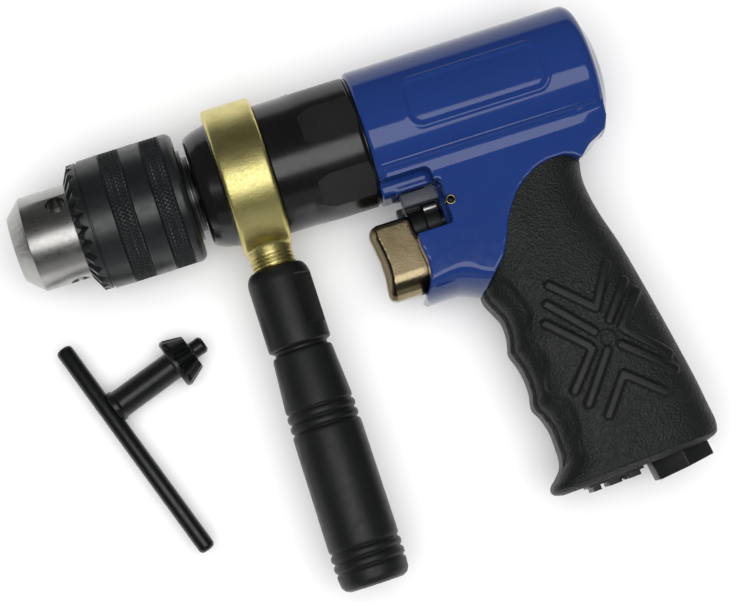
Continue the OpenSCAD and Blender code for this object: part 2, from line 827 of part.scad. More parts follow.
module spindle_spacer() {
    color([0.6, 0.6, 0.62]) ring_x(front_bearing_x + bearing_w + 0.2,
        rear_bearing_x - front_bearing_x - bearing_w - 0.4, spindle_land_r, spindle_r);
}

module output_planet_pins() {
    color([0.7, 0.7, 0.72]) planet_pins(carrier_x + pin_seat, carrier_w + planet_w - 2 * planet_gap);
}

// Line of one jaw: its foot on the slope, pointing to the rear
module jaw_line(i) {
    rotate([120 * i, 0, 0]) translate([jaw_line_x, 0, jaw_line_r]) rotate([0, 90 - jaw_slope, 0]) children();
}

function along_jaw(x) = (x - jaw_line_x) / cos(jaw_slope);

module chuck_body() {
    color([0.7, 0.7, 0.7]) difference() {
        turned([
            [mouth_r, 0], [nose_r - 5.1, 0], [nose_r, nose_cone], [nose_r, nut_x - nut_play],
            [nut_groove_r, nut_x - nut_play], [nut_groove_r, nut_x + nut_w + nut_play],
            [nose_r, nut_x + nut_w + nut_play], [nose_r, nose_end_x], [chuck_back_r, nose_end_x + back_step],
            [chuck_back_r, chuck_rear_x], [spindle_r, chuck_rear_x], [spindle_r, arbor_x],
            [screw_head_r + screw_head_play, arbor_x], [screw_head_r + screw_head_play, mouth_end_x],
            [mouth_r, mouth_end_x]
        ]);
        for (i = [0 : 2]) jaw_line(i) translate([0, 0, -jaw_bore_back])
            cylinder(h = jaw_bore_l, r = jaw_r + jaw_fit);
        for (i = [0 : 2]) rotate([120 * i - pilot_turn, 0, 0]) translate([pilot_x, 0, pilot_floor])
            cylinder(h = nose_r, r = pilot_hole_r);
    }
}

module chuck_screw() {
    color([0.3, 0.3, 0.3]) difference() {
        union() {
            bar_x(mouth_end_x, arbor_x - mouth_end_x, screw_head_r);
            bar_x(arbor_x, screw_l, screw_r);
        }
        translate([mouth_end_x - over, 0, 0]) along_x()
            cylinder(h = screw_hex_l + over, r = screw_hex_r, $fn = 6);
    }
}

module chuck_sleeve() {
    cavity_x = nose_end_x + back_step;
    color([0.13, 0.15, 0.16]) difference() {
        turned([
            [nose_r + fit, sleeve_front_x], [nose_r + sleeve_lip, sleeve_front_x],
            for (p = sleeve_front) [sleeve_r - p[0], sleeve_front_x + p[1]],
            [sleeve_r, sleeve_rear_x - sleeve_corner_r],
            for (a = [70 : -20 : 10])
                [sleeve_r + sleeve_corner_r * (sin(a) - 1), sleeve_rear_x + sleeve_corner_r * (cos(a) - 1)],
            [chuck_back_r + back_play, sleeve_rear_x], [chuck_back_r + back_play, cavity_end_x],
            [sleeve_cavity_r, cavity_end_x], [sleeve_cavity_r, cavity_x], [nose_r + fit, cavity_x]
        ]);
        for (k = [0 : sleeve_teeth - 1]) rotate([360 * k / sleeve_teeth, 0, 0])
            translate([sleeve_front_x + tooth_back, 0, sleeve_r - tooth_in]) rotate([0, -tooth_lean, 0])
                linear_extrude(tooth_w, center = true) polygon(tooth_gap);
    }
}

module jaw_nut() {
    color([0.45, 0.45, 0.47]) ring_x(nut_x, nut_w, nose_r + fit, nut_bore_r);
}

module jaw(i) {
    start = along_jaw(jaw_open_x);
    color([0.45, 0.45, 0.47]) difference() {
        jaw_line(i) translate([0, 0, start]) cylinder(h = jaw_l, r = jaw_r);
        // Two faces of the wedge that meets the other jaws, cut back to the open chuck's grip
        for (s = [0, 1]) rotate([120 * i, 0, 0]) mirror([0, s, 0]) translate([0, 0, mouth_r + jaw_clear])
            rotate([30, 0, 0]) translate([-jaw_bore_back, -nose_r, -nose_r])
                    cube([jaw_bore_l, 2 * nose_r, nose_r]);
    }
}

module jaw_1() {
    jaw(0);
}

module jaw_2() {
    jaw(1);
}

module jaw_3() {
    jaw(2);
}

module rotor() {
    front_x = spigot_end_x + rotor_room;
    end_x = cylinder_end_x - rotor_room;
    sun_end_x = first_planet_x + planet_w + sun_reach;
    color([0.55, 0.55, 0.57]) {
        difference() {
            bar_x(front_x, end_x - front_x, rotor_r);
            for (k = [0 : vane_count - 1]) rotate([360 * k / vane_count, 0, 0])
                translate([front_x - over, -vane_w / 2, vane_root_r]) cube([80, vane_w, 10]);
        }
        bar_x(sun_end_x, front_x - sun_end_x, rotor_shaft_r);
        bar_x(end_x, cylinder_end_x + plate_lip + rotor_bearing_w - end_x, rotor_shaft_r);
        spur(sun_teeth, first_planet_x, planet_w + sun_reach);
    }
}

module rotor_vanes() {
    color([0.4, 0.28, 0.16]) for (k = [0 : vane_count - 1]) rotate([360 * k / vane_count, 0, 0])
        translate([spigot_end_x + rotor_room, vane_play - vane_w / 2, vane_root_r + vane_gap]) cube([
            cylinder_end_x - spigot_end_x - 2 * rotor_room, vane_w - 2 * vane_play,
            rotor_r - vane_root_r - vane_gap - 2 * vane_play
        ]);
}

module first_carrier() {
    color([0.5, 0.5, 0.52]) difference() {
        union() {
            bar_x(first_carrier_x, first_carrier_w, carrier_r);
            spur(sun_teeth, output_planet_x, first_carrier_x - output_planet_x);
        }
        planet_pins(first_carrier_x + first_pin_seat, first_carrier_w + over);
    }
}

module first_planet_pins() {
    color([0.7, 0.7, 0.72]) planet_pins(first_carrier_x + first_pin_seat,
        first_carrier_w + planet_w - 0.2);
}

module output_planet_1() {
    color([0.6, 0.6, 0.62]) planet(0, output_planet_x);
}

module output_planet_2() {
    color([0.6, 0.6, 0.62]) planet(1, output_planet_x);
}

module output_planet_3() {
    color([0.6, 0.6, 0.62]) planet(2, output_planet_x);
}

module first_planet_1() {
    color([0.6, 0.6, 0.62]) planet(0, first_planet_x);
}

module first_planet_2() {
    color([0.6, 0.6, 0.62]) planet(1, first_planet_x);
}

module first_planet_3() {
    color([0.6, 0.6, 0.62]) planet(2, first_planet_x);
}

module trigger() {
    color([0.7, 0.68, 0.6]) difference() {
        translate([0, 0, -trigger_half_w]) linear_extrude(2 * trigger_half_w) polygon(trigger_outline);
        translate([trigger_wall_x, trigger_floor_y, -trigger_hollow_half_w])
            cube([20, 40, 2 * trigger_hollow_half_w]);
        translate([0, stem_y, 0]) bar_x(trigger_wall_x - stem_seat, 10, stem_r);
    }
}

module trigger_stem() {
    color([0.7, 0.7, 0.7]) translate([0, stem_y, 0])
        bar_x(trigger_wall_x - stem_seat, valve_x + valve_w - trigger_wall_x + stem_seat, stem_r);
}

module throttle_valve() {
    color([0.15, 0.15, 0.15]) translate([0, stem_y, 0]) ring_x(valve_x, valve_w, valve_r, stem_r);
}

module reverse_lever() {
    bar_top_y = lever_bar_y + lever_bar_h;
    post_y = reverse_y + 2;
    color([0.22, 0.23, 0.25]) difference() {
        union() {
            translate([0, reverse_y, 0]) bar_x(lever_hub_x, lever_hub_w, lever_hub_r);
            translate([lever_hub_x, post_y, -lever_post_half_w])
                cube([lever_hub_w, bar_top_y - post_y, 2 * lever_post_half_w]);
            translate([lever_hub_x, lever_bar_y, -neck_half_w])
                cube([lever_hub_w, lever_bar_h, 2 * neck_half_w]);
            for (s = [0, 1]) mirror([0, 0, s]) translate([tab_x, tab_y, tab_z])
                cube([tab_l, tab_h, neck_half_w + tab_proud - tab_z]);
        }
        translate([0, reverse_y, 0]) bar_x(lever_hub_x - over, 20, reverse_r);
    }
}

module reverse_valve() {
    color([0.7, 0.69, 0.64]) translate([0, reverse_y, 0]) difference() {
        bar_x(lever_hub_x, reverse_end_x - lever_hub_x, reverse_r);
        translate([feed_x, 0, 0]) rotate([90, 0, 0]) cylinder(h = 20, r = feed_r, center = true);
    }
}

module handle_ring() {
    inside_r = ring_seat_r - 1;
    color([0.7, 0.6, 0.3]) difference() {
        union() {
            turned([
                [inside_r, ring_front_x], [ring_r - ring_bevel, ring_front_x],
                [ring_r, ring_front_x + ring_bevel], [ring_r, ring_rear_x - ring_bevel],
                [ring_r - ring_bevel, ring_rear_x], [inside_r, ring_rear_x]
            ]);
            translate([handle_x, stub_from_y, 0]) rotate([90, 0, 0]) {
                cylinder(h = stub_from_y - stub_end_y, r = stub_r);
                cylinder(h = stub_fillet_l, r1 = stub_root_r, r2 = stub_fillet_r);
            }
        }
        bar_x(ring_front_x - over, 40, ring_seat_r + fit);
        translate([handle_x, 0, 0]) rotate([90, 0, 0]) cylinder(h = 60, r = stud_r);
    }
}

module handle_stud() {
    color([0.6, 0.55, 0.35]) translate([handle_x, stud_from_y, 0]) rotate([90, 0, 0])
        cylinder(h = stud_from_y - stud_end_y, r = stud_r);
}

// Outline of one band of ribs on the side grip
function ribs(band) = [
    for (k = [0 : rib_count - 1], p = rib) [band[0] + rib_pitch * k + p[0], band[1] + p[1]]
];

module side_grip() {
    outline = concat(
        [[0, insert_r]], grip_collar, ribs(rib_bands[0]), grip_body, ribs(rib_bands[1]), grip_end,
        [[insert_l, 0], [insert_l, insert_r]]
    );
    color([0.14, 0.15, 0.15]) translate([handle_x, side_grip_top_y, 0]) rotate([90, 0, 0])
        rotate_extrude($fn = 96) polygon([for (p = outline) [p[1], p[0]]]);
}

module grip_insert() {
    color([0.7, 0.6, 0.3]) translate([handle_x, side_grip_top_y, 0]) rotate([90, 0, 0]) difference() {
        translate([0, 0, insert_gap]) cylinder(h = insert_l - insert_gap, r = insert_r);
        translate([0, 0, -over]) cylinder(h = insert_l + 2 * over, r = stud_r + fit);
    }
}

// Moves a shape made along X to the key's place beside the drill
module key_frame() {
    translate([key_place[0], key_place[1], key_z]) rotate([0, 0, key_turn]) children();
}

module key_shank() {
    heel_x = key_bar_d / 2 - key_saddle;
    color([0.08, 0.08, 0.08]) key_frame() difference() {
        turned([
            [0, heel_x], [key_collar_r, heel_x], [key_collar_r, heel_x + key_collar_w],
            [key_shank_r, heel_x + key_collar_w + key_bevel],
            [key_shank_r, key_gear_x], [key_gear_r, key_gear_x], [key_gear_r, key_gear_x + key_bevel],
            [key_gear_front_r, key_gear_x + key_gear_w], [key_pilot_r, key_gear_x + key_gear_w],
            [key_pilot_r, key_end_x - key_bevel], [key_pilot_r - key_bevel, key_end_x], [0, key_end_x]
        ]);
        rotate([90, 0, 0]) cylinder(h = 4 * key_collar_r, r = key_bar_d / 2, center = true);
        // Tooth gaps, sunk along the gear's cone
        for (k = [0 : key_teeth - 1]) rotate([360 * (k + 0.5) / key_teeth, 0, 0])
            translate([key_gear_x, 0, key_gear_r - key_tooth_h]) rotate([0, key_cone, 0])
                translate([-over, 0, 0]) rotate([90, 0, 90]) linear_extrude(key_gear_w + 4)
                    polygon(key_tooth_gap);
    }
}

module key_bar() {
    bevel = 0.7;
    r = key_bar_d / 2;
    color([0.08, 0.08, 0.08]) key_frame() translate([0, key_short_side, 0]) rotate([90, 0, 0])
        rotate_extrude() polygon([
            [0, 0], [r - bevel, 0], [r, bevel], [r, key_bar_l - bevel], [r - bevel, key_bar_l], [0, key_bar_l]
        ]);
}

gear_case();
motor_housing();
grip_sleeve();
ring_gear();
gear_spacer();
front_end_plate();
motor_cylinder();
rear_end_plate();
motor_gasket();
cylinder_dowel();
spindle_front_bearing();
spindle_rear_bearing();
rotor_front_bearing();
rotor_rear_bearing();
inlet_bushing();
inlet_screen();
exhaust_deflector();
silencer_felt();
roll_pins();
valve_seat();
valve_plug();
throttle_spring();
stem_seal();
spindle();
spindle_spacer();
output_planet_pins();
chuck_body();
chuck_screw();
chuck_sleeve();
jaw_nut();
jaw_1();
jaw_2();
jaw_3();
rotor();
rotor_vanes();
first_carrier();
first_planet_pins();
output_planet_1();
output_planet_2();
output_planet_3();
first_planet_1();
first_planet_2();
first_planet_3();
trigger();
trigger_stem();
throttle_valve();
reverse_lever();
reverse_valve();
handle_ring();
handle_stud();
side_grip();
grip_insert();
key_shank();
key_bar();
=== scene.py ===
"""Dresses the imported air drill: shapes, finishes, studio light and the photograph's view."""

import json
import logging
import math
from dataclasses import dataclass
from enum import Enum
from typing import Callable, Iterable, Sequence

import bmesh
import bpy
from mathutils import Matrix, Vector, noise


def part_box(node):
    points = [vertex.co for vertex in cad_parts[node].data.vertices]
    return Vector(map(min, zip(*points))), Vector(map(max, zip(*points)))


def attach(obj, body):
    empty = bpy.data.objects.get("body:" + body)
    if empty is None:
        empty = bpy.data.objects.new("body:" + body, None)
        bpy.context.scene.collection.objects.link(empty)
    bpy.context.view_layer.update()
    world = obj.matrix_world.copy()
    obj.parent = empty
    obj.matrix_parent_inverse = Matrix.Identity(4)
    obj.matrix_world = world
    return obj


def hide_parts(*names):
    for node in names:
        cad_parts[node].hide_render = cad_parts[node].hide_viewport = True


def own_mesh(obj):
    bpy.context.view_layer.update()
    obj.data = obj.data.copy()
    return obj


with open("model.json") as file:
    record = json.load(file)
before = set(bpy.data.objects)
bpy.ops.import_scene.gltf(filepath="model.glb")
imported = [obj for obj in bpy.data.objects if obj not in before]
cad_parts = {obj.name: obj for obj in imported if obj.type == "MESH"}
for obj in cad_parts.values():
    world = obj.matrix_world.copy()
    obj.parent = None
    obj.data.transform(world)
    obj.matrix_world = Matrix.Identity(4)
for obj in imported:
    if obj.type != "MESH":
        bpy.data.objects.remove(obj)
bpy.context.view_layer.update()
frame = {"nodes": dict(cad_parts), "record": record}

LOG = logging.getLogger("air_drill")
MM = 0.001
TAU = 2 * math.pi
SIDES = ((1, "left"), (-1, "right"))
WELD = 1e-7
CAD_WELD = 2e-6
CAD_FLAT_ANGLE = 0.6
BROKEN_ANGLE = 28.0
CORNER_SHARE = 0.49
Point = tuple[float, float]
Colour = tuple[float, float, float]


class Body(str, Enum):
    """Moving bodies of the drill."""

    TOOL = "tool"
    SPINDLE = "spindle"
    SLEEVE = "chuck_sleeve"
    TRIGGER = "trigger"
    LEVER = "reverse_lever"
    SIDE_HANDLE = "side_handle"
    SIDE_GRIP = "side_grip"
    KEY = "chuck_key"


class Grain(Enum):
    """Surface textures that a finish can carry."""

    PEEL = "paint peel"
    LEATHER = "moulded leather"
    TURNED = "turned rings"
    CAST = "rough casting"
    SATIN = "fine satin"
    FELT = "matted fibres"

    @property
    def octaves(self) -> float:
        """Octaves of the noise that draws the texture."""
        return {Grain.TURNED: 6.0, Grain.CAST: 8.0, Grain.FELT: 12.0}.get(self, 2.0)


# ---------------------------------------------------------------- finishes


@dataclass(frozen=True)
class Finish:
    """A procedural finish.

    Attributes:
        name: Name of the material.
        colour: Main colour, linear.
        shade: Colour of the worn or darker places, linear.
        rough: Lowest and highest roughness.
        grain: Texture of the surface.
        scale: Grains in a metre.
        depth: Height of the grain in millimetres.
        metal: Metallic share.
        patch: Patches of colour in a metre.
        specular: Strength of the reflection of a material that isn't metal.
    """

    name: str
    colour: Colour
    shade: Colour
    rough: Point
    grain: Grain
    scale: float
    depth: float
    metal: float = 0.0
    patch: float = 60.0
    specular: float = 0.5

    PATCH_STOPS = (0.32, 0.72)
    PATCH_OCTAVES = 5.0
    WEAR_SPAN = (0.3, 0.7)
    WEAR_SCALE = 7
    WEAR_OCTAVES = 4.0
    CELL_SMOOTHNESS = 0.6
    RING_STRETCH = (1.0, 0.02, 0.02)

    def material(self) -> bpy.types.Material:
        """Makes the material once and hands back the same one later.

        Returns:
            The node material.
        """
        title = f"{self.name}_finish"
        made = bpy.data.materials.get(title)
        if made is not None:
            return made
        made = bpy.data.materials.new(title)
        made.use_nodes = True
        tree = made.node_tree
        shader = tree.nodes["Principled BSDF"]
        shader.inputs["Metallic"].default_value = self.metal
        shader.inputs["Specular IOR Level"].default_value = self.specular
        place = tree.nodes.new("ShaderNodeTexCoord").outputs["Object"]
        patches = self._noise(tree, place, self.patch, self.PATCH_OCTAVES)
        ramp = tree.nodes.new("ShaderNodeValToRGB")
        for stop, at, colour in zip(ramp.color_ramp.elements, self.PATCH_STOPS, (self.shade, self.colour)):
            stop.position = at
            stop.color = (*colour, 1)
        tree.links.new(patches, ramp.inputs["Fac"])
        tree.links.new(ramp.outputs["Color"], shader.inputs["Base Color"])
        spread = tree.nodes.new("ShaderNodeMapRange")
        for label, value in zip(("From Min", "From Max", "To Min", "To Max"), (*self.WEAR_SPAN, *self.rough)):
            spread.inputs[label].default_value = value
        wear = self._noise(tree, place, self.patch * self.WEAR_SCALE, self.WEAR_OCTAVES)
        tree.links.new(wear, spread.inputs["Value"])
        tree.links.new(spread.outputs["Result"], shader.inputs["Roughness"])
        bump = tree.nodes.new("ShaderNodeBump")
        bump.inputs["Strength"].default_value = 1.0
        bump.inputs["Distance"].default_value = self.depth * MM
        tree.links.new(self._height(tree, place), bump.inputs["Height"])
        tree.links.new(bump.outputs["Normal"], shader.inputs["Normal"])
        return made

    @staticmethod
    def _noise(tree: bpy.types.NodeTree, place: bpy.types.NodeSocket, scale: float,
               detail: float) -> bpy.types.NodeSocket:
        """Adds a noise texture.

        Args:
            tree: Node tree of the material.
            place: Socket with the coordinates.
            scale: Grains in a metre.
            detail: Octaves.

        Returns:
            The noise's value socket.
        """
        node = tree.nodes.new("ShaderNodeTexNoise")
        node.inputs["Scale"].default_value = scale
        node.inputs["Detail"].default_value = detail
        tree.links.new(place, node.inputs["Vector"])
        return node.outputs["Fac"]

    def _height(self, tree: bpy.types.NodeTree, place: bpy.types.NodeSocket) -> bpy.types.NodeSocket:
        """Adds the grain's texture.

        Args:
            tree: Node tree of the material.
            place: Socket with the coordinates.

        Returns:
            The height socket.
        """
        if self.grain is Grain.LEATHER:
            cells = tree.nodes.new("ShaderNodeTexVoronoi")
            cells.feature = "SMOOTH_F1"
            cells.inputs["Scale"].default_value = self.scale
            cells.inputs["Smoothness"].default_value = self.CELL_SMOOTHNESS
            cells.inputs["Randomness"].default_value = 1.0
            tree.links.new(place, cells.inputs["Vector"])
            return cells.outputs["Distance"]
        if self.grain is Grain.TURNED:
            turn = tree.nodes.new("ShaderNodeMapping")
            turn.inputs["Scale"].default_value = self.RING_STRETCH
            tree.links.new(place, turn.inputs["Vector"])
            place = turn.outputs["Vector"]
        return self._noise(tree, place, self.scale, self.grain.octaves)


class Finishes:
    """All finishes of the drill, by the record's slot."""

    BLUE_PAINT = Finish("blue_paint", (0.0120, 0.0355, 0.165), (0.0112, 0.0325, 0.152), (0.06, 0.11),
        Grain.PEEL, 900, 0.003, specular=0.42)
    BLACK_ENAMEL = Finish("black_enamel", (0.0055, 0.006, 0.0055), (0.004, 0.0045, 0.004), (0.17, 0.25),
        Grain.PEEL, 1500, 0.004)
    MACHINED_BLACK = Finish("machined_black", (0.010, 0.011, 0.010), (0.0075, 0.008, 0.0075), (0.40, 0.50),
        Grain.SATIN, 1800, 0.008)
    GRIP_RUBBER = Finish("grip_rubber", (0.0085, 0.0098, 0.0092), (0.006, 0.007, 0.0066), (0.44, 0.58),
        Grain.LEATHER, 1350, 0.22, specular=0.36)
    SMOOTH_RUBBER = Finish("smooth_rubber", (0.0078, 0.0088, 0.0083), (0.006, 0.0068, 0.0064), (0.40, 0.50),
        Grain.SATIN, 2000, 0.012, specular=0.36)
    BLACK_OXIDE = Finish("black_oxide", (0.009, 0.011, 0.012), (0.006, 0.0075, 0.008), (0.28, 0.42),
        Grain.SATIN, 2600, 0.010, specular=0.6)
    KEY_OXIDE = Finish("key_oxide", (0.0055, 0.006, 0.006), (0.0035, 0.004, 0.004), (0.26, 0.40),
        Grain.SATIN, 2200, 0.015, specular=0.45)
    BRIGHT_STEEL = Finish("bright_steel", (0.44, 0.435, 0.42), (0.36, 0.355, 0.34), (0.27, 0.37),
        Grain.TURNED, 2600, 0.008, metal=1.0, patch=90)
    PLAIN_STEEL = Finish("plain_steel", (0.30, 0.30, 0.30), (0.23, 0.23, 0.22), (0.30, 0.45),
        Grain.TURNED, 1800, 0.008, metal=1.0, patch=90)
    # Plated metal: the plating's own pale colour, warmed and darkened towards brown as a painted reflection of
    # dark warm surroundings.
    NICKEL_AND_PAINTED_REFLECTION = Finish("nickel", (0.30, 0.247, 0.152), (0.235, 0.188, 0.106), (0.16, 0.24),
        Grain.CAST, 1900, 0.02, metal=1.0, patch=180)
    CAST_BRASS = Finish("cast_brass", (0.76, 0.68, 0.30), (0.63, 0.555, 0.21), (0.32, 0.46),
        Grain.CAST, 1300, 0.05, metal=1.0, patch=150)
    BLACK_PLASTIC = Finish("black_plastic", (0.0085, 0.009, 0.009), (0.006, 0.0065, 0.0065), (0.38, 0.50),
        Grain.SATIN, 2400, 0.010, specular=0.36)
    LEVER_GREY = Finish("lever_grey", (0.040, 0.045, 0.056), (0.030, 0.034, 0.043), (0.36, 0.50),
        Grain.CAST, 1600, 0.02)
    ALUMINIUM = Finish("motor_aluminium", (0.42, 0.43, 0.44), (0.34, 0.35, 0.36), (0.32, 0.45),
        Grain.TURNED, 1500, 0.008, metal=1.0)
    SEAL_RUBBER = Finish("seal_rubber", (0.010, 0.010, 0.010), (0.007, 0.007, 0.007), (0.5, 0.65),
        Grain.SATIN, 1800, 0.02)
    FELT = Finish("felt", (0.21, 0.19, 0.15), (0.14, 0.125, 0.10), (0.85, 0.98),
        Grain.FELT, 2600, 0.25)
    LAMINATE = Finish("vane_laminate", (0.13, 0.062, 0.022), (0.09, 0.042, 0.015), (0.42, 0.55),
        Grain.FELT, 1500, 0.03)

    BY_SLOT = {
        "blue_paint": BLUE_PAINT, "black_enamel": BLACK_ENAMEL, "grip_rubber": GRIP_RUBBER,
        "black_oxide": BLACK_OXIDE, "bright_steel": BRIGHT_STEEL, "plain_steel": PLAIN_STEEL,
        "nickel": NICKEL_AND_PAINTED_REFLECTION, "cast_brass": CAST_BRASS, "black_plastic": BLACK_PLASTIC,
        "motor_aluminium": ALUMINIUM, "seal_rubber": SEAL_RUBBER, "felt": FELT, "vane_laminate": LAMINATE,
    }


# ---------------------------------------------------------------- mesh tools


def smooth_step(low: float, high: float, value: float) -> float:
    """Eases from 0 at low to 1 at high."""
    share = min(1.0, max(0.0, (value - low) / (high - low)))
    return share * share * (3 - 2 * share)


def along(points: Sequence[Point], at: float) -> float:
    """Reads a rounded curve through points.

    Args:
        points: Pairs of place and value, in rising order of place.
        at: Place to read.

    Returns:
        The value there, by a cubic through the neighbours.
    """
    if at <= points[0][0]:
        return points[0][1]
    if at >= points[-1][0]:
        return points[-1][1]
    index = max(i for i, p in enumerate(points) if p[0] <= at)
    (x0, y0), (x1, y1) = points[index], points[index + 1]
    before = points[max(0, index - 1)]
    after = points[min(len(points) - 1, index + 2)]
    span = x1 - x0
    slope0 = (y1 - before[1]) / (x1 - before[0]) * span
    slope1 = (after[1] - y0) / (after[0] - x0) * span
    t = (at - x0) / span
    return ((2 * t ** 3 - 3 * t ** 2 + 1) * y0 + (t ** 3 - 2 * t ** 2 + t) * slope0
            + (-2 * t ** 3 + 3 * t ** 2) * y1 + (t ** 3 - t ** 2) * slope1)


def rounded(points: Sequence[Point], radius: float, steps: int = 4) -> list[Point]:
    """Rounds the inner corners of a profile.

    Args:
        points: Corners of the profile, in millimetres.
        radius: Largest length taken off each side of a corner.
        steps: Segments in each rounding.

    Returns:
        The profile with arcs in place of its corners.
    """
    result = [points[0]]
    for before, corner, after in zip(points, points[1:], points[2:]):
        here = Vector(corner)
        back, ahead = Vector(before) - here, Vector(after) - here
        cut = min(radius, back.length * CORNER_SHARE, ahead.length * CORNER_SHARE)
        start, end = here + back.normalized() * cut, here + ahead.normalized() * cut
        for k in range(steps + 1):
            t = k / steps
            spot = start * (1 - t) ** 2 + here * (2 * t * (1 - t)) + end * t ** 2
            result.append((spot.x, spot.y))
    return result + [points[-1]]


def dense(points: Sequence[Point], step: float) -> list[Point]:
    """Splits a profile's lines into short pieces.

    Args:
        points: Corners of the profile, in millimetres.
        step: Longest piece that is left.

    Returns:
        The profile with its added points.
    """
    result = [points[0]]
    for a, b in zip(points, points[1:]):
        count = max(1, math.ceil(math.dist(a, b) / step))
        for k in range(1, count + 1):
            result.append((a[0] + (b[0] - a[0]) * k / count, a[1] + (b[1] - a[1]) * k / count))
    return result


def shift(x: float = 0.0, y: float = 0.0, z: float = 0.0) -> Matrix:
    """Matrix of a move in millimetres."""
    return Matrix.Translation((x * MM, y * MM, z * MM))


def turning(degrees: float, axis: str) -> Matrix:
    """Matrix of a turn about one axis of the frame."""
    return Matrix.Rotation(math.radians(degrees), 4, axis)


def moved(bm: bmesh.types.BMesh, matrix: Matrix) -> bmesh.types.BMesh:
    """Moves a whole mesh by a matrix and hands it back."""
    bmesh.ops.transform(bm, matrix=matrix, verts=bm.verts)
    return bm


def lathe(profile: Sequence[Point], steps: int = 96, closed: bool = False) -> bmesh.types.BMesh:
    """Turns a profile round the X axis.

    Args:
        profile: Pairs of place along X and radius, in millimetres.
        steps: Segments in the turn.
        closed: Whether the profile's end joins its start.

    Returns:
        The turned mesh, in metres.
    """
    bm = bmesh.new()
    verts = [bm.verts.new((x * MM, 0, r * MM)) for x, r in profile]
    edges = [bm.edges.new(pair) for pair in zip(verts, verts[1:])]
    if closed:
        edges.append(bm.edges.new((verts[-1], verts[0])))
    bmesh.ops.spin(bm, geom=verts + edges, cent=(0, 0, 0), axis=(1, 0, 0), angle=TAU, steps=steps, use_merge=True)
    bmesh.ops.remove_doubles(bm, verts=bm.verts, dist=WELD)
    bmesh.ops.recalc_face_normals(bm, faces=bm.faces)
    return bm


def rod(start: float, end: float, radius: float, steps: int) -> bmesh.types.BMesh:
    """Makes a plain round bar on the X axis, most often a cutter."""
    return lathe([(start, 0), (start, radius), (end, radius), (end, 0)], steps)


def washer(span: Point, radii: Point, soft: float, steps: int) -> bmesh.types.BMesh:
    """Makes a ring on the X axis with rounded outer edges.

    Args:
        span: Its two ends along X, in millimetres.
        radii: Inner and outer radius.
        soft: Rounding of the outer edges.
        steps: Segments in the turn.

    Returns:
        The ring, in metres.
    """
    (low, high), (inner, outer) = span, radii
    corners = [(low, inner), (low, outer), (high, outer), (high, inner)]
    return lathe(rounded(corners, soft, 3), steps, closed=True)


def prism(outline: Sequence[Point], low: float, high: float) -> bmesh.types.BMesh:
    """Extrudes a side outline along Z.

    Args:
        outline: Corners in X and Y, in millimetres.
        low: Lower end along Z.
        high: Upper end along Z.

    Returns:
        The closed prism, in metres.
    """
    bm = bmesh.new()
    face = bm.faces.new([bm.verts.new((x * MM, y * MM, low * MM)) for x, y in outline])
    grown = bmesh.ops.extrude_face_region(bm, geom=[face])["geom"]
    top = [g for g in grown if isinstance(g, bmesh.types.BMVert)]
    bmesh.ops.translate(bm, verts=top, vec=(0, 0, (high - low) * MM))
    bmesh.ops.recalc_face_normals(bm, faces=bm.faces)
    return bm


def block(low: Sequence[float], high: Sequence[float], soft: float = 0.0) -> bmesh.types.BMesh:
    """Makes a block between two corners.

    Args:
        low: Lower corner, in millimetres.
        high: Upper corner, in millimetres.
        soft: Rounding of every edge.

    Returns:
        The block, in metres.
    """
    bm = bmesh.new()
    bmesh.ops.create_cube(bm, size=1.0)
    size = [(b - a) * MM for a, b in zip(low, high)]
    middle = [(a + b) / 2 * MM for a, b in zip(low, high)]
    bmesh.ops.scale(bm, vec=size, verts=bm.verts)
    bmesh.ops.translate(bm, vec=middle, verts=bm.verts)
    if soft:
        bmesh.ops.bevel(bm, geom=bm.edges[:], offset=soft * MM, affect="EDGES", segments=4, profile=0.5,
                        material=-1)
    return bm


def cad_copy(node: str) -> bmesh.types.BMesh:
    """Copies a CAD node's mesh and merges its loose triangles into whole faces.

    Args:
        node: Name of the node.

    Returns:
        The merged copy.
    """
    bm = bmesh.new()
    bm.from_mesh(frame["nodes"][node].data)
    bmesh.ops.remove_doubles(bm, verts=bm.verts, dist=CAD_WELD)
    bmesh.ops.dissolve_limit(bm, angle_limit=math.radians(CAD_FLAT_ANGLE), verts=bm.verts, edges=bm.edges)
    return bm


def along_y(bm: bmesh.types.BMesh, x: float, y: float) -> bmesh.types.BMesh:
    """Stands a mesh turned about X so that it runs down from a point along -Y.

    Args:
        bm: The mesh, changed in place.
        x: Place of its axis, in millimetres.
        y: Height of its start, in millimetres.

    Returns:
        The same mesh.
    """
    return moved(bm, shift(x, y) @ turning(-90, "Z"))


class Joinery(Enum):
    """Ways to combine two closed meshes, with Blender's names."""

    JOIN = "UNION"
    CUT = "DIFFERENCE"


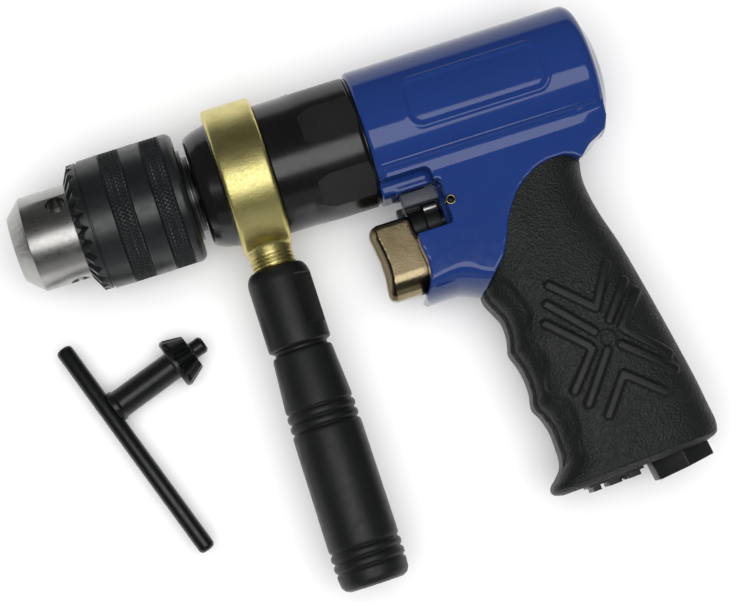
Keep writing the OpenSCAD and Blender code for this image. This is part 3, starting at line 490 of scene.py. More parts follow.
class Workpiece:
    """A mesh on Blender's bench, shaped by modifiers that are applied at once."""

    def __init__(self, bm: bmesh.types.BMesh) -> None:
        """Puts a mesh on the bench.

        Args:
            bm: The mesh, freed afterwards.
        """
        mesh = bpy.data.meshes.new("workpiece")
        bm.to_mesh(mesh)
        bm.free()
        self.obj = bpy.data.objects.new("workpiece", mesh)
        bpy.context.scene.collection.objects.link(self.obj)

    def apply(self, kind: str, **settings: object) -> "Workpiece":
        """Adds one modifier and applies it.

        Args:
            kind: Blender's name of the modifier.
            **settings: Its settings.

        Returns:
            This workpiece.
        """
        modifier = self.obj.modifiers.new(kind.lower(), kind)
        for name, value in settings.items():
            setattr(modifier, name, value)
        shown = self.obj.evaluated_get(bpy.context.evaluated_depsgraph_get())
        mesh = bpy.data.meshes.new_from_object(shown)
        self.obj.modifiers.clear()
        old = self.obj.data
        self.obj.data = mesh
        bpy.data.meshes.remove(old)
        return self

    def combine(self, others: Iterable[bmesh.types.BMesh], way: Joinery) -> "Workpiece":
        """Combines the workpiece with other closed meshes in turn.

        Args:
            others: The other meshes, freed afterwards.
            way: Whether they are joined or cut away.

        Returns:
            This workpiece.
        """
        for other in others:
            tool = Workpiece(other)
            self.apply("BOOLEAN", object=tool.obj, operation=way.value, solver="EXACT")
            tool.clear()
        return self

    def cut(self, *others: bmesh.types.BMesh) -> "Workpiece":
        """Cuts away each closed mesh in turn."""
        return self.combine(others, Joinery.CUT)

    def join(self, *others: bmesh.types.BMesh) -> "Workpiece":
        """Joins each closed mesh in turn."""
        return self.combine(others, Joinery.JOIN)

    def soften(self, voxel: float, rounds: int) -> "Workpiece":
        """Rebuilds the skin at an even pitch and evens it out.

        Args:
            voxel: Pitch in millimetres.
            rounds: Rounds of smoothing.

        Returns:
            This workpiece.
        """
        self.apply("REMESH", mode="VOXEL", voxel_size=voxel * MM, use_smooth_shade=True)
        return self.apply("SMOOTH", factor=0.5, iterations=rounds)

    def move(self, place: Callable[[Vector, Vector], Vector]) -> "Workpiece":
        """Moves every vertex.

        Args:
            place: Takes a vertex's place and normal in millimetres and gives its new place.

        Returns:
            This workpiece.
        """
        mesh = self.obj.data
        normals = [v.normal.copy() for v in mesh.vertices]
        for vertex, normal in zip(mesh.vertices, normals):
            vertex.co = place(vertex.co / MM, normal) * MM
        mesh.update()
        return self

    def clear(self) -> None:
        """Takes the workpiece off the bench."""
        mesh = self.obj.data
        bpy.data.objects.remove(self.obj)
        bpy.data.meshes.remove(mesh)

    def bm(self) -> bmesh.types.BMesh:
        """Takes the mesh off the bench.

        Returns:
            The shaped mesh.
        """
        result = bmesh.new()
        result.from_mesh(self.obj.data)
        self.clear()
        return result


def show(name: str, bm: bmesh.types.BMesh, body: Body, finish: Finish, nodes: Iterable[str] = (),
         sharp: float = 32.0) -> bpy.types.Object:
    """Makes a finished piece from a mesh.

    Args:
        name: Name of the piece.
        bm: Its mesh, freed afterwards.
        body: Body that it rides on.
        finish: Its finish.
        nodes: CAD nodes that it stands for.
        sharp: Angle above which an edge stays sharp, in degrees.

    Returns:
        The piece's object.
    """
    mesh = bpy.data.meshes.new(name)
    bm.to_mesh(mesh)
    bm.free()
    mesh.materials.clear()
    mesh.materials.append(finish.material())
    mesh.polygons.foreach_set("material_index", [0] * len(mesh.polygons))
    mesh.shade_smooth()
    mesh.set_sharp_from_angle(angle=math.radians(sharp))
    obj = bpy.data.objects.new(name, mesh)
    bpy.context.scene.collection.objects.link(obj)
    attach(obj, body.value)
    nodes = tuple(nodes)
    if nodes:
        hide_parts(*nodes)
    LOG.info("%s: %d faces on %s", name, len(mesh.polygons), body.value)
    return obj


def second_finish(piece: bpy.types.Object, finish: Finish, test: Callable[[bpy.types.MeshPolygon], bool]) -> None:
    """Gives the faces that pass a test a second finish.

    Args:
        piece: The piece, changed in place.
        finish: The second finish.
        test: Says of a face whether it takes that finish.
    """
    piece.data.materials.append(finish.material())
    for face in piece.data.polygons:
        face.material_index = int(test(face))


def edged(node: str, width: float) -> bmesh.types.BMesh:
    """Copies a CAD node with its sharp edges broken.

    Args:
        node: Name of the node.
        width: Width of the broken edge, in millimetres.

    Returns:
        The mesh.
    """
    piece = Workpiece(cad_copy(node))
    piece.apply("BEVEL", width=width * MM, segments=3, limit_method="ANGLE",
                angle_limit=math.radians(BROKEN_ANGLE), profile=0.5, use_clamp_overlap=True, harden_normals=False,
                miter_outer="MITER_ARC")
    return piece.bm()


# ---------------------------------------------------------------- sub-assemblies


@dataclass
class MotorHousing:
    """Blue cast housing with its round motor body, neck and handle core. Sizes in millimetres."""

    front_x: float = 119.5
    front_round: float = 0.7
    round_r: float = 23.4
    rear_x: float = 194.5
    rear_r: float = 3.8
    neck_half: float = 17.5
    core_half: float = 11.0
    voxel: float = 0.5
    smoothing: int = 9
    round_near: float = 0.5
    dome_near: float = 0.6
    flat_near: float = 0.4
    panel_low: Point = (135.0, -4.6)
    panel_high: Point = (181.5, 10.9)
    panel_corner: float = 4.0
    panel_depth: float = 0.55
    panel_edge: Point = (-0.2, 1.0)
    panel_z: float = 14.0
    rim_height: float = 0.22
    rim_w: float = 0.75
    fillet_r: float = 13.7
    fillet_foot: float = -20.0
    fillet_top: float = -12.4
    fillet_z: float = 16.0
    fillet_over: float = 1.0
    fillet_facing: float = 0.5
    flat_facing: float = 0.97
    keel_near: float = 0.1
    keel_steep: float = 0.5
    ledge_x: float = 121.4
    ledge_w: float = 0.8
    ledge_t: float = 0.9
    ledge_round: float = 0.14
    ledge_rise: float = 0.04
    ledge_tilt: float = 6.0
    open_x: float = 110.0
    slot_half: float = 8.4
    slot_low: float = -56.0
    slot_end_x: float = 134.6
    notch_low: float = -37.2
    notch_top: float = -22.2
    notch_end_x: float = 137.0
    notch_round: float = 0.6
    notch_half: float = 30.0
    web_x: float = 130.0
    web_half: float = 9.2
    web_end_x: float = 138.2
    scallop_half: float = 10.4
    scallop_round: float = 2.2
    keel_ends: tuple[int, int] = (114, 148)
    keel_floor: float = -75.0
    beyond: float = 40.0

    NECK = (
        (186.4, -28.4), (188.9, -26.2), (192, -24.8), (195.2, -23), (197, -19), (197.6, -14), (121, -14),
        (121, -20), (125.9, -23), (125.9, -42), (126.6, -47), (126, -51),
        (124.5, -55), (122.8, -57), (122.8, -58.2), (124.2, -59.2), (133.7, -59.2), (137.7, -60.6),
        (140.9, -62), (146.6, -56.5), (150.5, -52.6), (153, -48), (155, -43), (157.7, -38.4),
        (161.1, -34.1), (165, -30.8), (170, -28.2), (175, -27), (179, -27), (182, -28), (184.6, -30),
    )
    CORE = ((148, -50), (156, -36), (181, -26), (181.5, -45), (196.4, -125.5), (158, -127), (151, -62))
    CORE_TOP = ((142, -56), (156, -36), (168, -24), (179, -24), (180, -45), (182, -61), (151, -61))
    CORE_TOP_HALF = 12.6
    DOME = ((0, 202.6), (5, 202.4), (10, 201.6), (14.5, 200.4), (18.2, 199.0), (20.9, 198.07))
    CREASE = (
        (121, -53.0), (125.5, -52.4), (130.8, -51.3), (136.7, -50.8), (139.6, -51.8), (142.6, -54.2), (147, -56.2),
        (150, -56.6),
    )
    KEEL = ((112, -58.2), (124.2, -59.2), (133.7, -59.2), (137.7, -60.6), (140.9, -62), (150, -64))
    ROUND_SPAN = (120.6, 195.0)
    ROUND_FADE = (-14.5, -11.0)
    FILLET_SPAN = (121, 196)
    FILLET_START = (121, 123)
    FILLET_END = (185, 196)
    FLAT_TOP = -19
    SCALLOP = ((116, -30), (136.4, -17.2))
    BORE = (118.5, 191.0, 20.0)
    STEM_HOLES = ((132, 144, -45, 2.55), (143, 215, -45, 6.0), (132, 150.4, -33.5, 4.05))
    PIN_HOLE = (8, 30, 1.8)
    PIN_AT = (139.7, -30)
    INLET_FOOT = (186.3, -131.5)
    EXHAUST_FOOT = (168, -131)
    LEAN_HOLES = ((INLET_FOOT, -10, 20, 8.0), (INLET_FOOT, 0, 86, 6.0), (EXHAUST_FOOT, -10, 74, 5.0))
    LEAN = 98.5

    def profile(self) -> list[Point]:
        """Profile of the round body with its domed rear.

        Returns:
            Pairs of place along X and radius.
        """
        r, corner_r, lip = self.round_r, self.rear_r, self.front_round
        corner = [(self.rear_x + corner_r * math.cos(a), r - corner_r + corner_r * math.sin(a))
                  for a in map(math.radians, range(80, 10, -10))]
        return [(self.front_x, 0), (self.front_x, r - lip), (self.front_x + lip, r), (self.rear_x, r), *corner,
                *[(x, y) for y, x in reversed(self.DOME[:-1])]]

    def panel_drop(self, x: float, y: float) -> float:
        """Depth of the recessed side panel, with its fine raised rim.

        Args:
            x: Place along the spindle.
            y: Height on the round body.

        Returns:
            Depth below the round body, negative on the rim.
        """
        middle = [(a + b) / 2 for a, b in zip(self.panel_low, self.panel_high)]
        half = [(b - a) / 2 - self.panel_corner for a, b in zip(self.panel_low, self.panel_high)]
        over = [max(abs(p - m) - h, 0.0) for p, m, h in zip((x, y), middle, half)]
        inside = self.panel_corner - math.hypot(*over)
        sunk = self.panel_depth * smooth_step(*self.panel_edge, inside)
        rim = self.rim_height * max(0.0, 1 - abs(inside + self.rim_w) / self.rim_w)
        return sunk - rim

    def on_round(self, p: Vector, share: float) -> Vector | None:
        """Brings a vertex of the round body back to its radius and sinks the panel.

        Args:
            p: Place of the vertex.
            share: How far it is brought back.

        Returns:
            Its new place, or nothing where it lies elsewhere.
        """
        radius = math.hypot(p.y, p.z)
        low, high = self.ROUND_SPAN
        if not (low < p.x < high and abs(radius - self.round_r) < self.round_near):
            return None
        wanted = self.round_r - (self.panel_drop(p.x, p.y) if abs(p.z) > self.panel_z else 0.0)
        grow = 1 + share * (wanted / radius - 1)
        return Vector((p.x, p.y * grow, p.z * grow))

    def on_dome(self, p: Vector, share: float) -> Vector | None:
        """Brings a vertex of the domed rear and its rounded corner back to their profile.

        Args:
            p: Place of the vertex.
            share: How far it is brought back.

        Returns:
            Its new place, or nothing where it lies elsewhere.
        """
        if p.x <= self.rear_x:
            return None
        radius, edge = math.hypot(p.y, p.z), self.DOME[-1][0]
        across = radius - self.round_r + self.rear_r
        reach = math.hypot(p.x - self.rear_x, across)
        end_x = along(self.DOME, radius)
        if radius < edge and abs(p.x - end_x) < self.dome_near:
            return Vector((p.x + share * (end_x - p.x), p.y, p.z))
        if radius >= edge and abs(reach - self.rear_r) < self.dome_near:
            grow = self.rear_r / reach
            wanted = (self.round_r - self.rear_r + across * grow) / radius
            x = self.rear_x + (p.x - self.rear_x) * grow
            side = 1 + share * (wanted - 1)
            return Vector((p.x + share * (x - p.x), p.y * side, p.z * side))
        return None

    def on_fillet(self, p: Vector, n: Vector) -> Vector:
        """Hollows the fillet between the round body and the neck.

        Args:
            p: Place of a vertex.
            n: Its normal.

        Returns:
            Its new place.
        """
        (low, high), outward = self.FILLET_SPAN, n.z * math.copysign(1, p.z)
        tall = self.fillet_foot < p.y < self.fillet_top + self.fillet_over
        if not (tall and low < p.x < high and abs(p.z) > self.fillet_z and outward > self.fillet_facing):
            return p
        hollow = self.neck_half + self.fillet_r - math.sqrt(self.fillet_r ** 2 - (p.y - self.fillet_foot) ** 2)
        wanted = max(hollow, math.sqrt(self.round_r ** 2 - p.y ** 2) if p.x < self.rear_x else 0.0)
        share = smooth_step(*self.FILLET_START, p.x) * (1 - smooth_step(*self.FILLET_END, p.x))
        return Vector((p.x, p.y, p.z + share * (math.copysign(wanted, p.z) - p.z)))

    def on_neck(self, p: Vector, n: Vector) -> Vector:
        """Brings a vertex of the neck back to its flat side or, below the crease, to its half round.

        Args:
            p: Place of a vertex.
            n: Its normal.

        Returns:
            Its new place.
        """
        crease = along(self.CREASE, p.x)
        if p.x > self.keel_ends[1] or p.y > crease:
            near = abs(abs(p.z) - self.neck_half) < self.flat_near
            if near and p.y < self.FLAT_TOP and abs(n.z) > self.flat_facing:
                p = Vector((p.x, p.y, math.copysign(self.neck_half, p.z)))
            return p
        reach = math.hypot((crease - p.y) / (crease - along(self.KEEL, p.x)), p.z / self.neck_half)
        if abs(reach - 1) < self.keel_near and abs(n.x) < self.keel_steep:
            p = Vector((p.x, crease + (p.y - crease) / reach, p.z / reach))
        return p

    def trued(self, p: Vector, n: Vector) -> Vector:
        """Brings the evened skin back to its true forms.

        Args:
            p: Place of a vertex.
            n: Its normal.

        Returns:
            Its new place.
        """
        share = smooth_step(*self.ROUND_FADE, p.y)
        for place in (self.on_round, self.on_dome):
            spot = place(p, share) if share > 0 else None
            if spot is not None:
                return spot
        return self.on_neck(self.on_fillet(p, n), n)

    def keel(self) -> bmesh.types.BMesh:
        """Makes the cutter that leaves the neck half round below its crease.

        Returns:
            The space outside the half round.
        """
        low, high = self.keel_ends
        top = [(x, along(self.CREASE, x)) for x in range(low, high + 1)]
        tube = lathe([(low - 1, 0), *dense([(low - 1, 1), (high + 1, 1)], 1.0), (high + 1, 0)], 96)
        for vert in tube.verts:
            x, y, z = vert.co / MM
            crease = along(self.CREASE, x)
            vert.co = Vector((x, crease + y * (crease - along(self.KEEL, x)), z * self.neck_half)) * MM
        outline = [(low, self.keel_floor), *top, (high, self.keel_floor)]
        return Workpiece(prism(outline, -self.beyond, self.beyond)).cut(tube).bm()

    def openings(self) -> list[bmesh.types.BMesh]:
        """Makes the cutters of the trigger's slot, the lever's notch and the pockets beside it.

        Returns:
            The cutters, in the order of cutting.
        """
        low, top, half = self.notch_low, self.notch_top, self.notch_half
        cutters = [block((self.open_x, self.slot_low, -self.slot_half), (self.slot_end_x, top, self.slot_half)),
                   block((self.open_x, low, -half), (self.notch_end_x, top, half), self.notch_round)]
        (x0, y0), (x1, y1) = self.SCALLOP
        for side, _ in SIDES:
            near, far = sorted((side * self.web_half, side * self.beyond))
            cutters.append(block((self.web_x, low, near), (self.web_end_x, top, far), self.notch_round))
            near, far = sorted((side * self.scallop_half, side * self.beyond))
            cutters.append(block((x0, y0, near), (x1, y1, far), self.scallop_round))
        return cutters

    @classmethod
    def core(cls) -> list[bmesh.types.BMesh]:
        """Makes the handle's core and its shoulder."""
        return [prism(cls.CORE, -cls.core_half, cls.core_half),
                prism(cls.CORE_TOP, -cls.CORE_TOP_HALF, cls.CORE_TOP_HALF)]

    def ledges(self) -> None:
        """Lays the fine mould ledge along each side of the round body."""
        z = math.sqrt(self.round_r ** 2 - self.fillet_top ** 2) + self.ledge_rise
        for side, name in SIDES:
            ledge = block((self.ledge_x, -self.ledge_w, -self.ledge_t), (self.rear_x, 0, 0), self.ledge_round)
            tilt = self.ledge_tilt
            if side < 0:
                moved(ledge, shift(0, self.ledge_w))
                tilt = 180 - tilt
            moved(ledge, shift(0, self.fillet_top, side * z) @ turning(tilt, "X"))
            show(f"mould_ledge_{name}", ledge, Body.TOOL, Finishes.BLUE_PAINT)

    def build(self) -> None:
        """Casts, cuts and paints the housing."""
        skin = Workpiece(lathe(self.profile(), 128))
        skin.join(prism(self.NECK, -self.neck_half, self.neck_half))
        skin.cut(*self.openings(), self.keel())
        skin.soften(self.voxel, self.smoothing).move(self.trued)
        skin.join(*self.core())
        skin.cut(rod(*self.BORE, 96), *[self.round_hole(*hole) for hole in self.STEM_HOLES])
        pins = [shift(*self.PIN_AT) @ turning(-90 * side, "Y") for side, _ in SIDES]
        skin.cut(*[moved(rod(*self.PIN_HOLE, 32), pin) for pin in pins])
        skin.cut(*[self.lean_hole(*hole) for hole in self.LEAN_HOLES])
        self.ledges()
        show("housing_casting", skin.bm(), Body.TOOL, Finishes.BLUE_PAINT, ["motor_housing"],
             sharp=40)

    @staticmethod
    def round_hole(x0: float, x1: float, y: float, r: float) -> bmesh.types.BMesh:
        """Makes the cutter of a hole along X at a height."""
        return moved(rod(x0, x1, r, 40), shift(0, y))

    @classmethod
    def lean_hole(cls, foot: Point, low: float, high: float, r: float) -> bmesh.types.BMesh:
        """Makes the cutter of a leaning passage in the handle."""
        return moved(rod(low, high, r, 40), shift(*foot) @ turning(cls.LEAN, "Z"))


@dataclass
class GripSleeve:
    """Rubber grip with leather grain, finger hollows and raised tread bars. Sizes in millimetres."""

    half_w: float = 17.0
    low_y: float = -132.2
    top_y: float = -24.0
    foot_x: float = 146.0
    slope: float = 0.048
    across: int = 300
    up: int = 250
    bar_half: float = 1.45
    bar_height: float = 0.95
    squareness: float = 3.226
    bar_edge: float = 0.35
    top_share: float = 0.55
    eye_height: float = 0.45
    hollow: float = 0.9
    dimple: float = 0.24
    dimple_pitch: float = 2.0
    side_z: float = 6.0
    taper: float = 1.5
    taper_span: Point = (60.0, 72.0)
    foot_round_y: float = -130.0
    foot_round: float = 1.2
    slope_span: Point = (100.0, 32.2)
    beyond: float = 40.0

    FRONT = (
        (-132.2, 146), (-131.4, 143.6), (-130, 142.7), (-128.3, 143.2), (-126.3, 145.4), (-124, 147.5),
        (-121, 148.5), (-117, 148.6), (-111, 148.3), (-106, 146.9), (-102.4, 145.2), (-97, 146),
        (-92, 145.9), (-87, 144.9), (-83, 143.6), (-80, 144.2), (-77, 144.8), (-72, 144.6), (-68, 142.8),
        (-64.5, 141.2), (-62, 140.9), (-56, 140.9), (-24, 140.9),
    )
    BACK = (
        (-132.2, 196), (-131, 199.6), (-129, 200.7), (-126, 201), (-122, 200.5), (-108, 198.8), (-92, 196.1),
        (-75, 192.9), (-60, 189.8), (-48, 186.5), (-40, 185), (-35, 184.8), (-31, 185.4), (-24, 187),
    )
    BARS = (
        ((161, -66.4), (173.3, -78.1)), ((158.6, -72.2), (170.5, -85.4)), ((156.2, -78), (167.5, -89.3)),
        ((181.1, -65.5), (173.3, -78.1)), ((185, -72.3), (176.3, -83)), ((188, -76.7), (179.3, -86.4)),
        ((158.3, -101.5), (168, -90.3)), ((161.3, -106.9), (172.5, -92.2)), ((166.3, -112.3), (175, -101)),
        ((191.7, -99.1), (180.3, -87.9)), ((191.8, -104.5), (177.4, -91.8)), ((186.4, -110.9), (175, -101)),
    )
    EYE = (173.4, -88.8)
    EYE_R = 2.6
    EYE_EDGE = (0.3, 0.9)
    FINGER_EDGE = (
        (-124, 156.6), (-120.1, 155), (-112.2, 156.5), (-104.3, 155.9), (-98.3, 150.9), (-88.5, 153.3),
        (-80.7, 150.3), (-72.8, 153.2), (-67, 151.7), (-58.2, 148.2),
    )
    FINGER_SPAN = (-125, -58)
    FINGER_FADE = (-0.4, 1.8)
    FINGER_LOW = (-125, -120)
    FINGER_HIGH = (-63, -58)
    PATCHES = ((151.6, -71.0, 2.8, 4.4), (150.3, -90.0, 2.6, 7.2), (153.2, -109.0, 2.6, 8.0))
    PATCH_EDGE = (0, 0.25)
    TRIMS = (((100, -24.3), (220, 30)), ((100, -58.5), (138, -20)))
    ROUND_TRIM = (110, 230)
    FOOT_HOLES = ((MotorHousing.INLET_FOOT, -10, 12, 11.6), (MotorHousing.EXHAUST_FOOT, -10, 12, 5.0))

    def skin(self, u: float, v: float) -> Vector:
        """Places one point of the grip's smooth form.

        Args:
            u: Share of the way round.
            v: Share of the way up.

        Returns:
            The point in millimetres.
        """
        y = self.low_y + (self.top_y - self.low_y) * v
        x0, x1 = along(self.FRONT, y), along(self.BACK, y)
        from_y, over = self.taper_span
        width = self.half_w - self.taper * max(0.0, (-y - from_y) / over) ** 2
        width -= max(0.0, self.foot_round_y - y) * self.foot_round
        angle = TAU * u
        c, s = math.cos(angle), math.sin(angle)
        reach = (abs(c) ** self.squareness + abs(s) ** self.squareness) ** (-1 / self.squareness)
        x = (x0 + x1) / 2 + (x1 - x0) / 2 * c * reach
        z = width * s * reach
        from_y, over = self.slope_span
        return Vector((x, y + (x - self.foot_x) * self.slope * max(0.0, (-y - from_y) / over), z))

    def relief(self, p: Vector) -> float:
        """Height of the tread bars, the eye and the finger hollows at a place.

        Args:
            p: Place on the smooth form.

        Returns:
            Height in millimetres, negative in a hollow.
        """
        if abs(p.z) < self.side_z:
            return 0.0
        spot = Vector((p.x, p.y))
        near = math.inf
        for a, b in self.BARS:
            start, line = Vector(a), Vector(b) - Vector(a)
            t = min(1.0, max(0.0, (spot - start).dot(line) / line.length_squared))
            near = min(near, (start + line * t - spot).length)
        edge = self.bar_edge
        height = self.bar_height * (1 - smooth_step(self.bar_half - edge, self.bar_half + edge, near))
        ring = abs((spot - Vector(self.EYE)).length - self.EYE_R)
        height = max(height, self.eye_height * (1 - smooth_step(*self.EYE_EDGE, ring)))
        low, high = self.FINGER_SPAN
        if low < p.y < high:
            zone = smooth_step(*self.FINGER_FADE, along(self.FINGER_EDGE, p.y) - p.x)
            zone *= smooth_step(*self.FINGER_LOW, p.y) * (1 - smooth_step(*self.FINGER_HIGH, p.y))
            patch = max(1 - math.hypot((p.x - x) / w, (p.y - y) / h) for x, y, w, h in self.PATCHES)
            around = p.x + abs(p.z)
            wave = math.cos(TAU * around / self.dimple_pitch) * math.cos(TAU * p.y / self.dimple_pitch)
            height -= zone * (self.hollow + self.dimple * max(0.0, wave) * smooth_step(*self.PATCH_EDGE, patch))
        return height

    def form(self) -> bmesh.types.BMesh:
        """Makes the grip's smooth form.

        Returns:
            The closed form.
        """
        bm = bmesh.new()
        bmesh.ops.create_grid(bm, x_segments=self.across, y_segments=self.up, size=0.5)
        for vert in bm.verts:
            vert.co = self.skin(vert.co.x + 0.5, vert.co.y + 0.5) * MM
        bmesh.ops.remove_doubles(bm, verts=bm.verts, dist=WELD)
        ends = [e for e in bm.edges if e.is_boundary]
        bmesh.ops.holes_fill(bm, edges=ends, sides=0)
        bmesh.ops.recalc_face_normals(bm, faces=bm.faces)
        return bm

    def build(self) -> None:
        """Moulds the grip and trims it to the housing."""
        grip = Workpiece(self.form()).move(lambda p, n: p + n * self.relief(p))
        far = self.beyond
        trims = [block((*low, -far), (*high, far)) for low, high in self.TRIMS]
        grip.cut(prism(MotorHousing.NECK, -far, far), *trims, rod(*self.ROUND_TRIM, MotorHousing.round_r, 96))
        grip.cut(*MotorHousing.core(), *[MotorHousing.lean_hole(*hole) for hole in self.FOOT_HOLES])
        rubber = show("grip_rubber", grip.bm(), Body.TOOL, Finishes.GRIP_RUBBER, ["grip_sleeve"],
                      sharp=48)
        top = self.top_share * self.bar_height
        second_finish(rubber, Finishes.SMOOTH_RUBBER, lambda face: self.relief(face.center / MM) > top)


@dataclass
class ChuckSleeve:
    """Keyed sleeve with bevel teeth and two bands of diamond knurl. Sizes in millimetres."""

    teeth: int = 27
    steps: int = 720
    full_r: float = 22.0
    tooth_depth: float = 1.75
    knurl_count: int = 90
    knurl_depth: float = 0.42
    knurl_rise: float = 0.85
    knurl_sharpness: float = 1.3
    knurl_fade: float = 0.25
    knurl_inner_r: float = 21.0
    knurl_step: float = 0.25
    tooth_step: float = 0.28
    bands: tuple[Point, Point] = ((34.5, 41.2), (48.6, 54.9))
    tooth_end_x: float = 26.6
    tooth_inner_r: float = 16.8
    tooth_floor_r: float = 16.6
    gap_half: float = 0.36
    gap_lean: float = 2.2
    cone_slope: float = 1.96
    rear_round: float = 2.6
    rear_at: Point = (56.6, 19.4)

    FRONT = ((21.2, 16.05), (21.2, 16.7), (23.6, 21.4), (26.4, 21.6))
    GROOVE = ((26.6, 21.2), (27.0, 21.2), (27.2, 21.8), (34.2, 22), (34.4, 21.75))
    MIDDLE = ((41.35, 21.75), (41.5, 22), (48.3, 22), (48.45, 21.75))
    REAR = ((55.05, 21.75), (55.2, 22))
    INNER = ((59.2, 15.5), (55.5, 15.5), (55.5, 19), (30.6, 19), (30.6, 16.05))

    def carve(self, p: Vector, n: Vector) -> Vector:
        """Sinks the tooth gaps and the knurl.

        Args:
            p: Place of a vertex.
            n: Its normal, not used.

        Returns:
            Its new place.
        """
        r = math.hypot(p.y, p.z)
        turn = math.atan2(p.z, p.y)
        if p.x < self.tooth_end_x and r > self.tooth_inner_r:
            phase = (turn / TAU * self.teeth) % 1.0
            gap = max(0.0, 1 - abs(phase - 0.5) / self.gap_half)
            cone_x, cone_r = self.FRONT[2]
            floor_r = cone_r + (p.x - cone_x) * self.cone_slope - self.gap_lean * self.tooth_depth * gap
            if gap > 0 and floor_r < r:
                scale = max(floor_r, self.tooth_floor_r) / r
                return Vector((p.x, p.y * scale, p.z * scale))
        for low, high in self.bands:
            if low < p.x < high and r > self.knurl_inner_r:
                pitch = TAU * self.full_r / self.knurl_count
                around = turn / TAU * self.knurl_count
                rise = (p.x - low) / pitch * self.knurl_rise
                first = abs((around + rise) % 1.0 - 0.5) * 2
                second = abs((around - rise) % 1.0 - 0.5) * 2
                edge = smooth_step(0, self.knurl_fade, min(p.x - low, high - p.x))
                valley = max(1 - self.knurl_sharpness * min(first, second), 0.0)
                scale = 1 - edge * self.knurl_depth * valley / r
                return Vector((p.x, p.y * scale, p.z * scale))
        return p

    def build(self) -> None:
        """Turns the sleeve and cuts its teeth and knurl."""
        first, second = (dense([(x, self.full_r) for x in band], self.knurl_step) for band in self.bands)
        outer = [*dense(self.FRONT, self.tooth_step), *self.GROOVE, *first, *self.MIDDLE, *second, *self.REAR]
        (x, r), soft = self.rear_at, self.rear_round
        corner = [(x + soft * math.sin(a), r + soft * math.cos(a)) for a in map(math.radians, range(10, 95, 10))]
        profile = [*outer, *corner, *self.INNER]
        sleeve = Workpiece(lathe(profile, self.steps, closed=True)).move(self.carve)
        show("keyed_sleeve", sleeve.bm(), Body.SLEEVE, Finishes.BLACK_OXIDE, ["chuck_sleeve"],
             sharp=26)


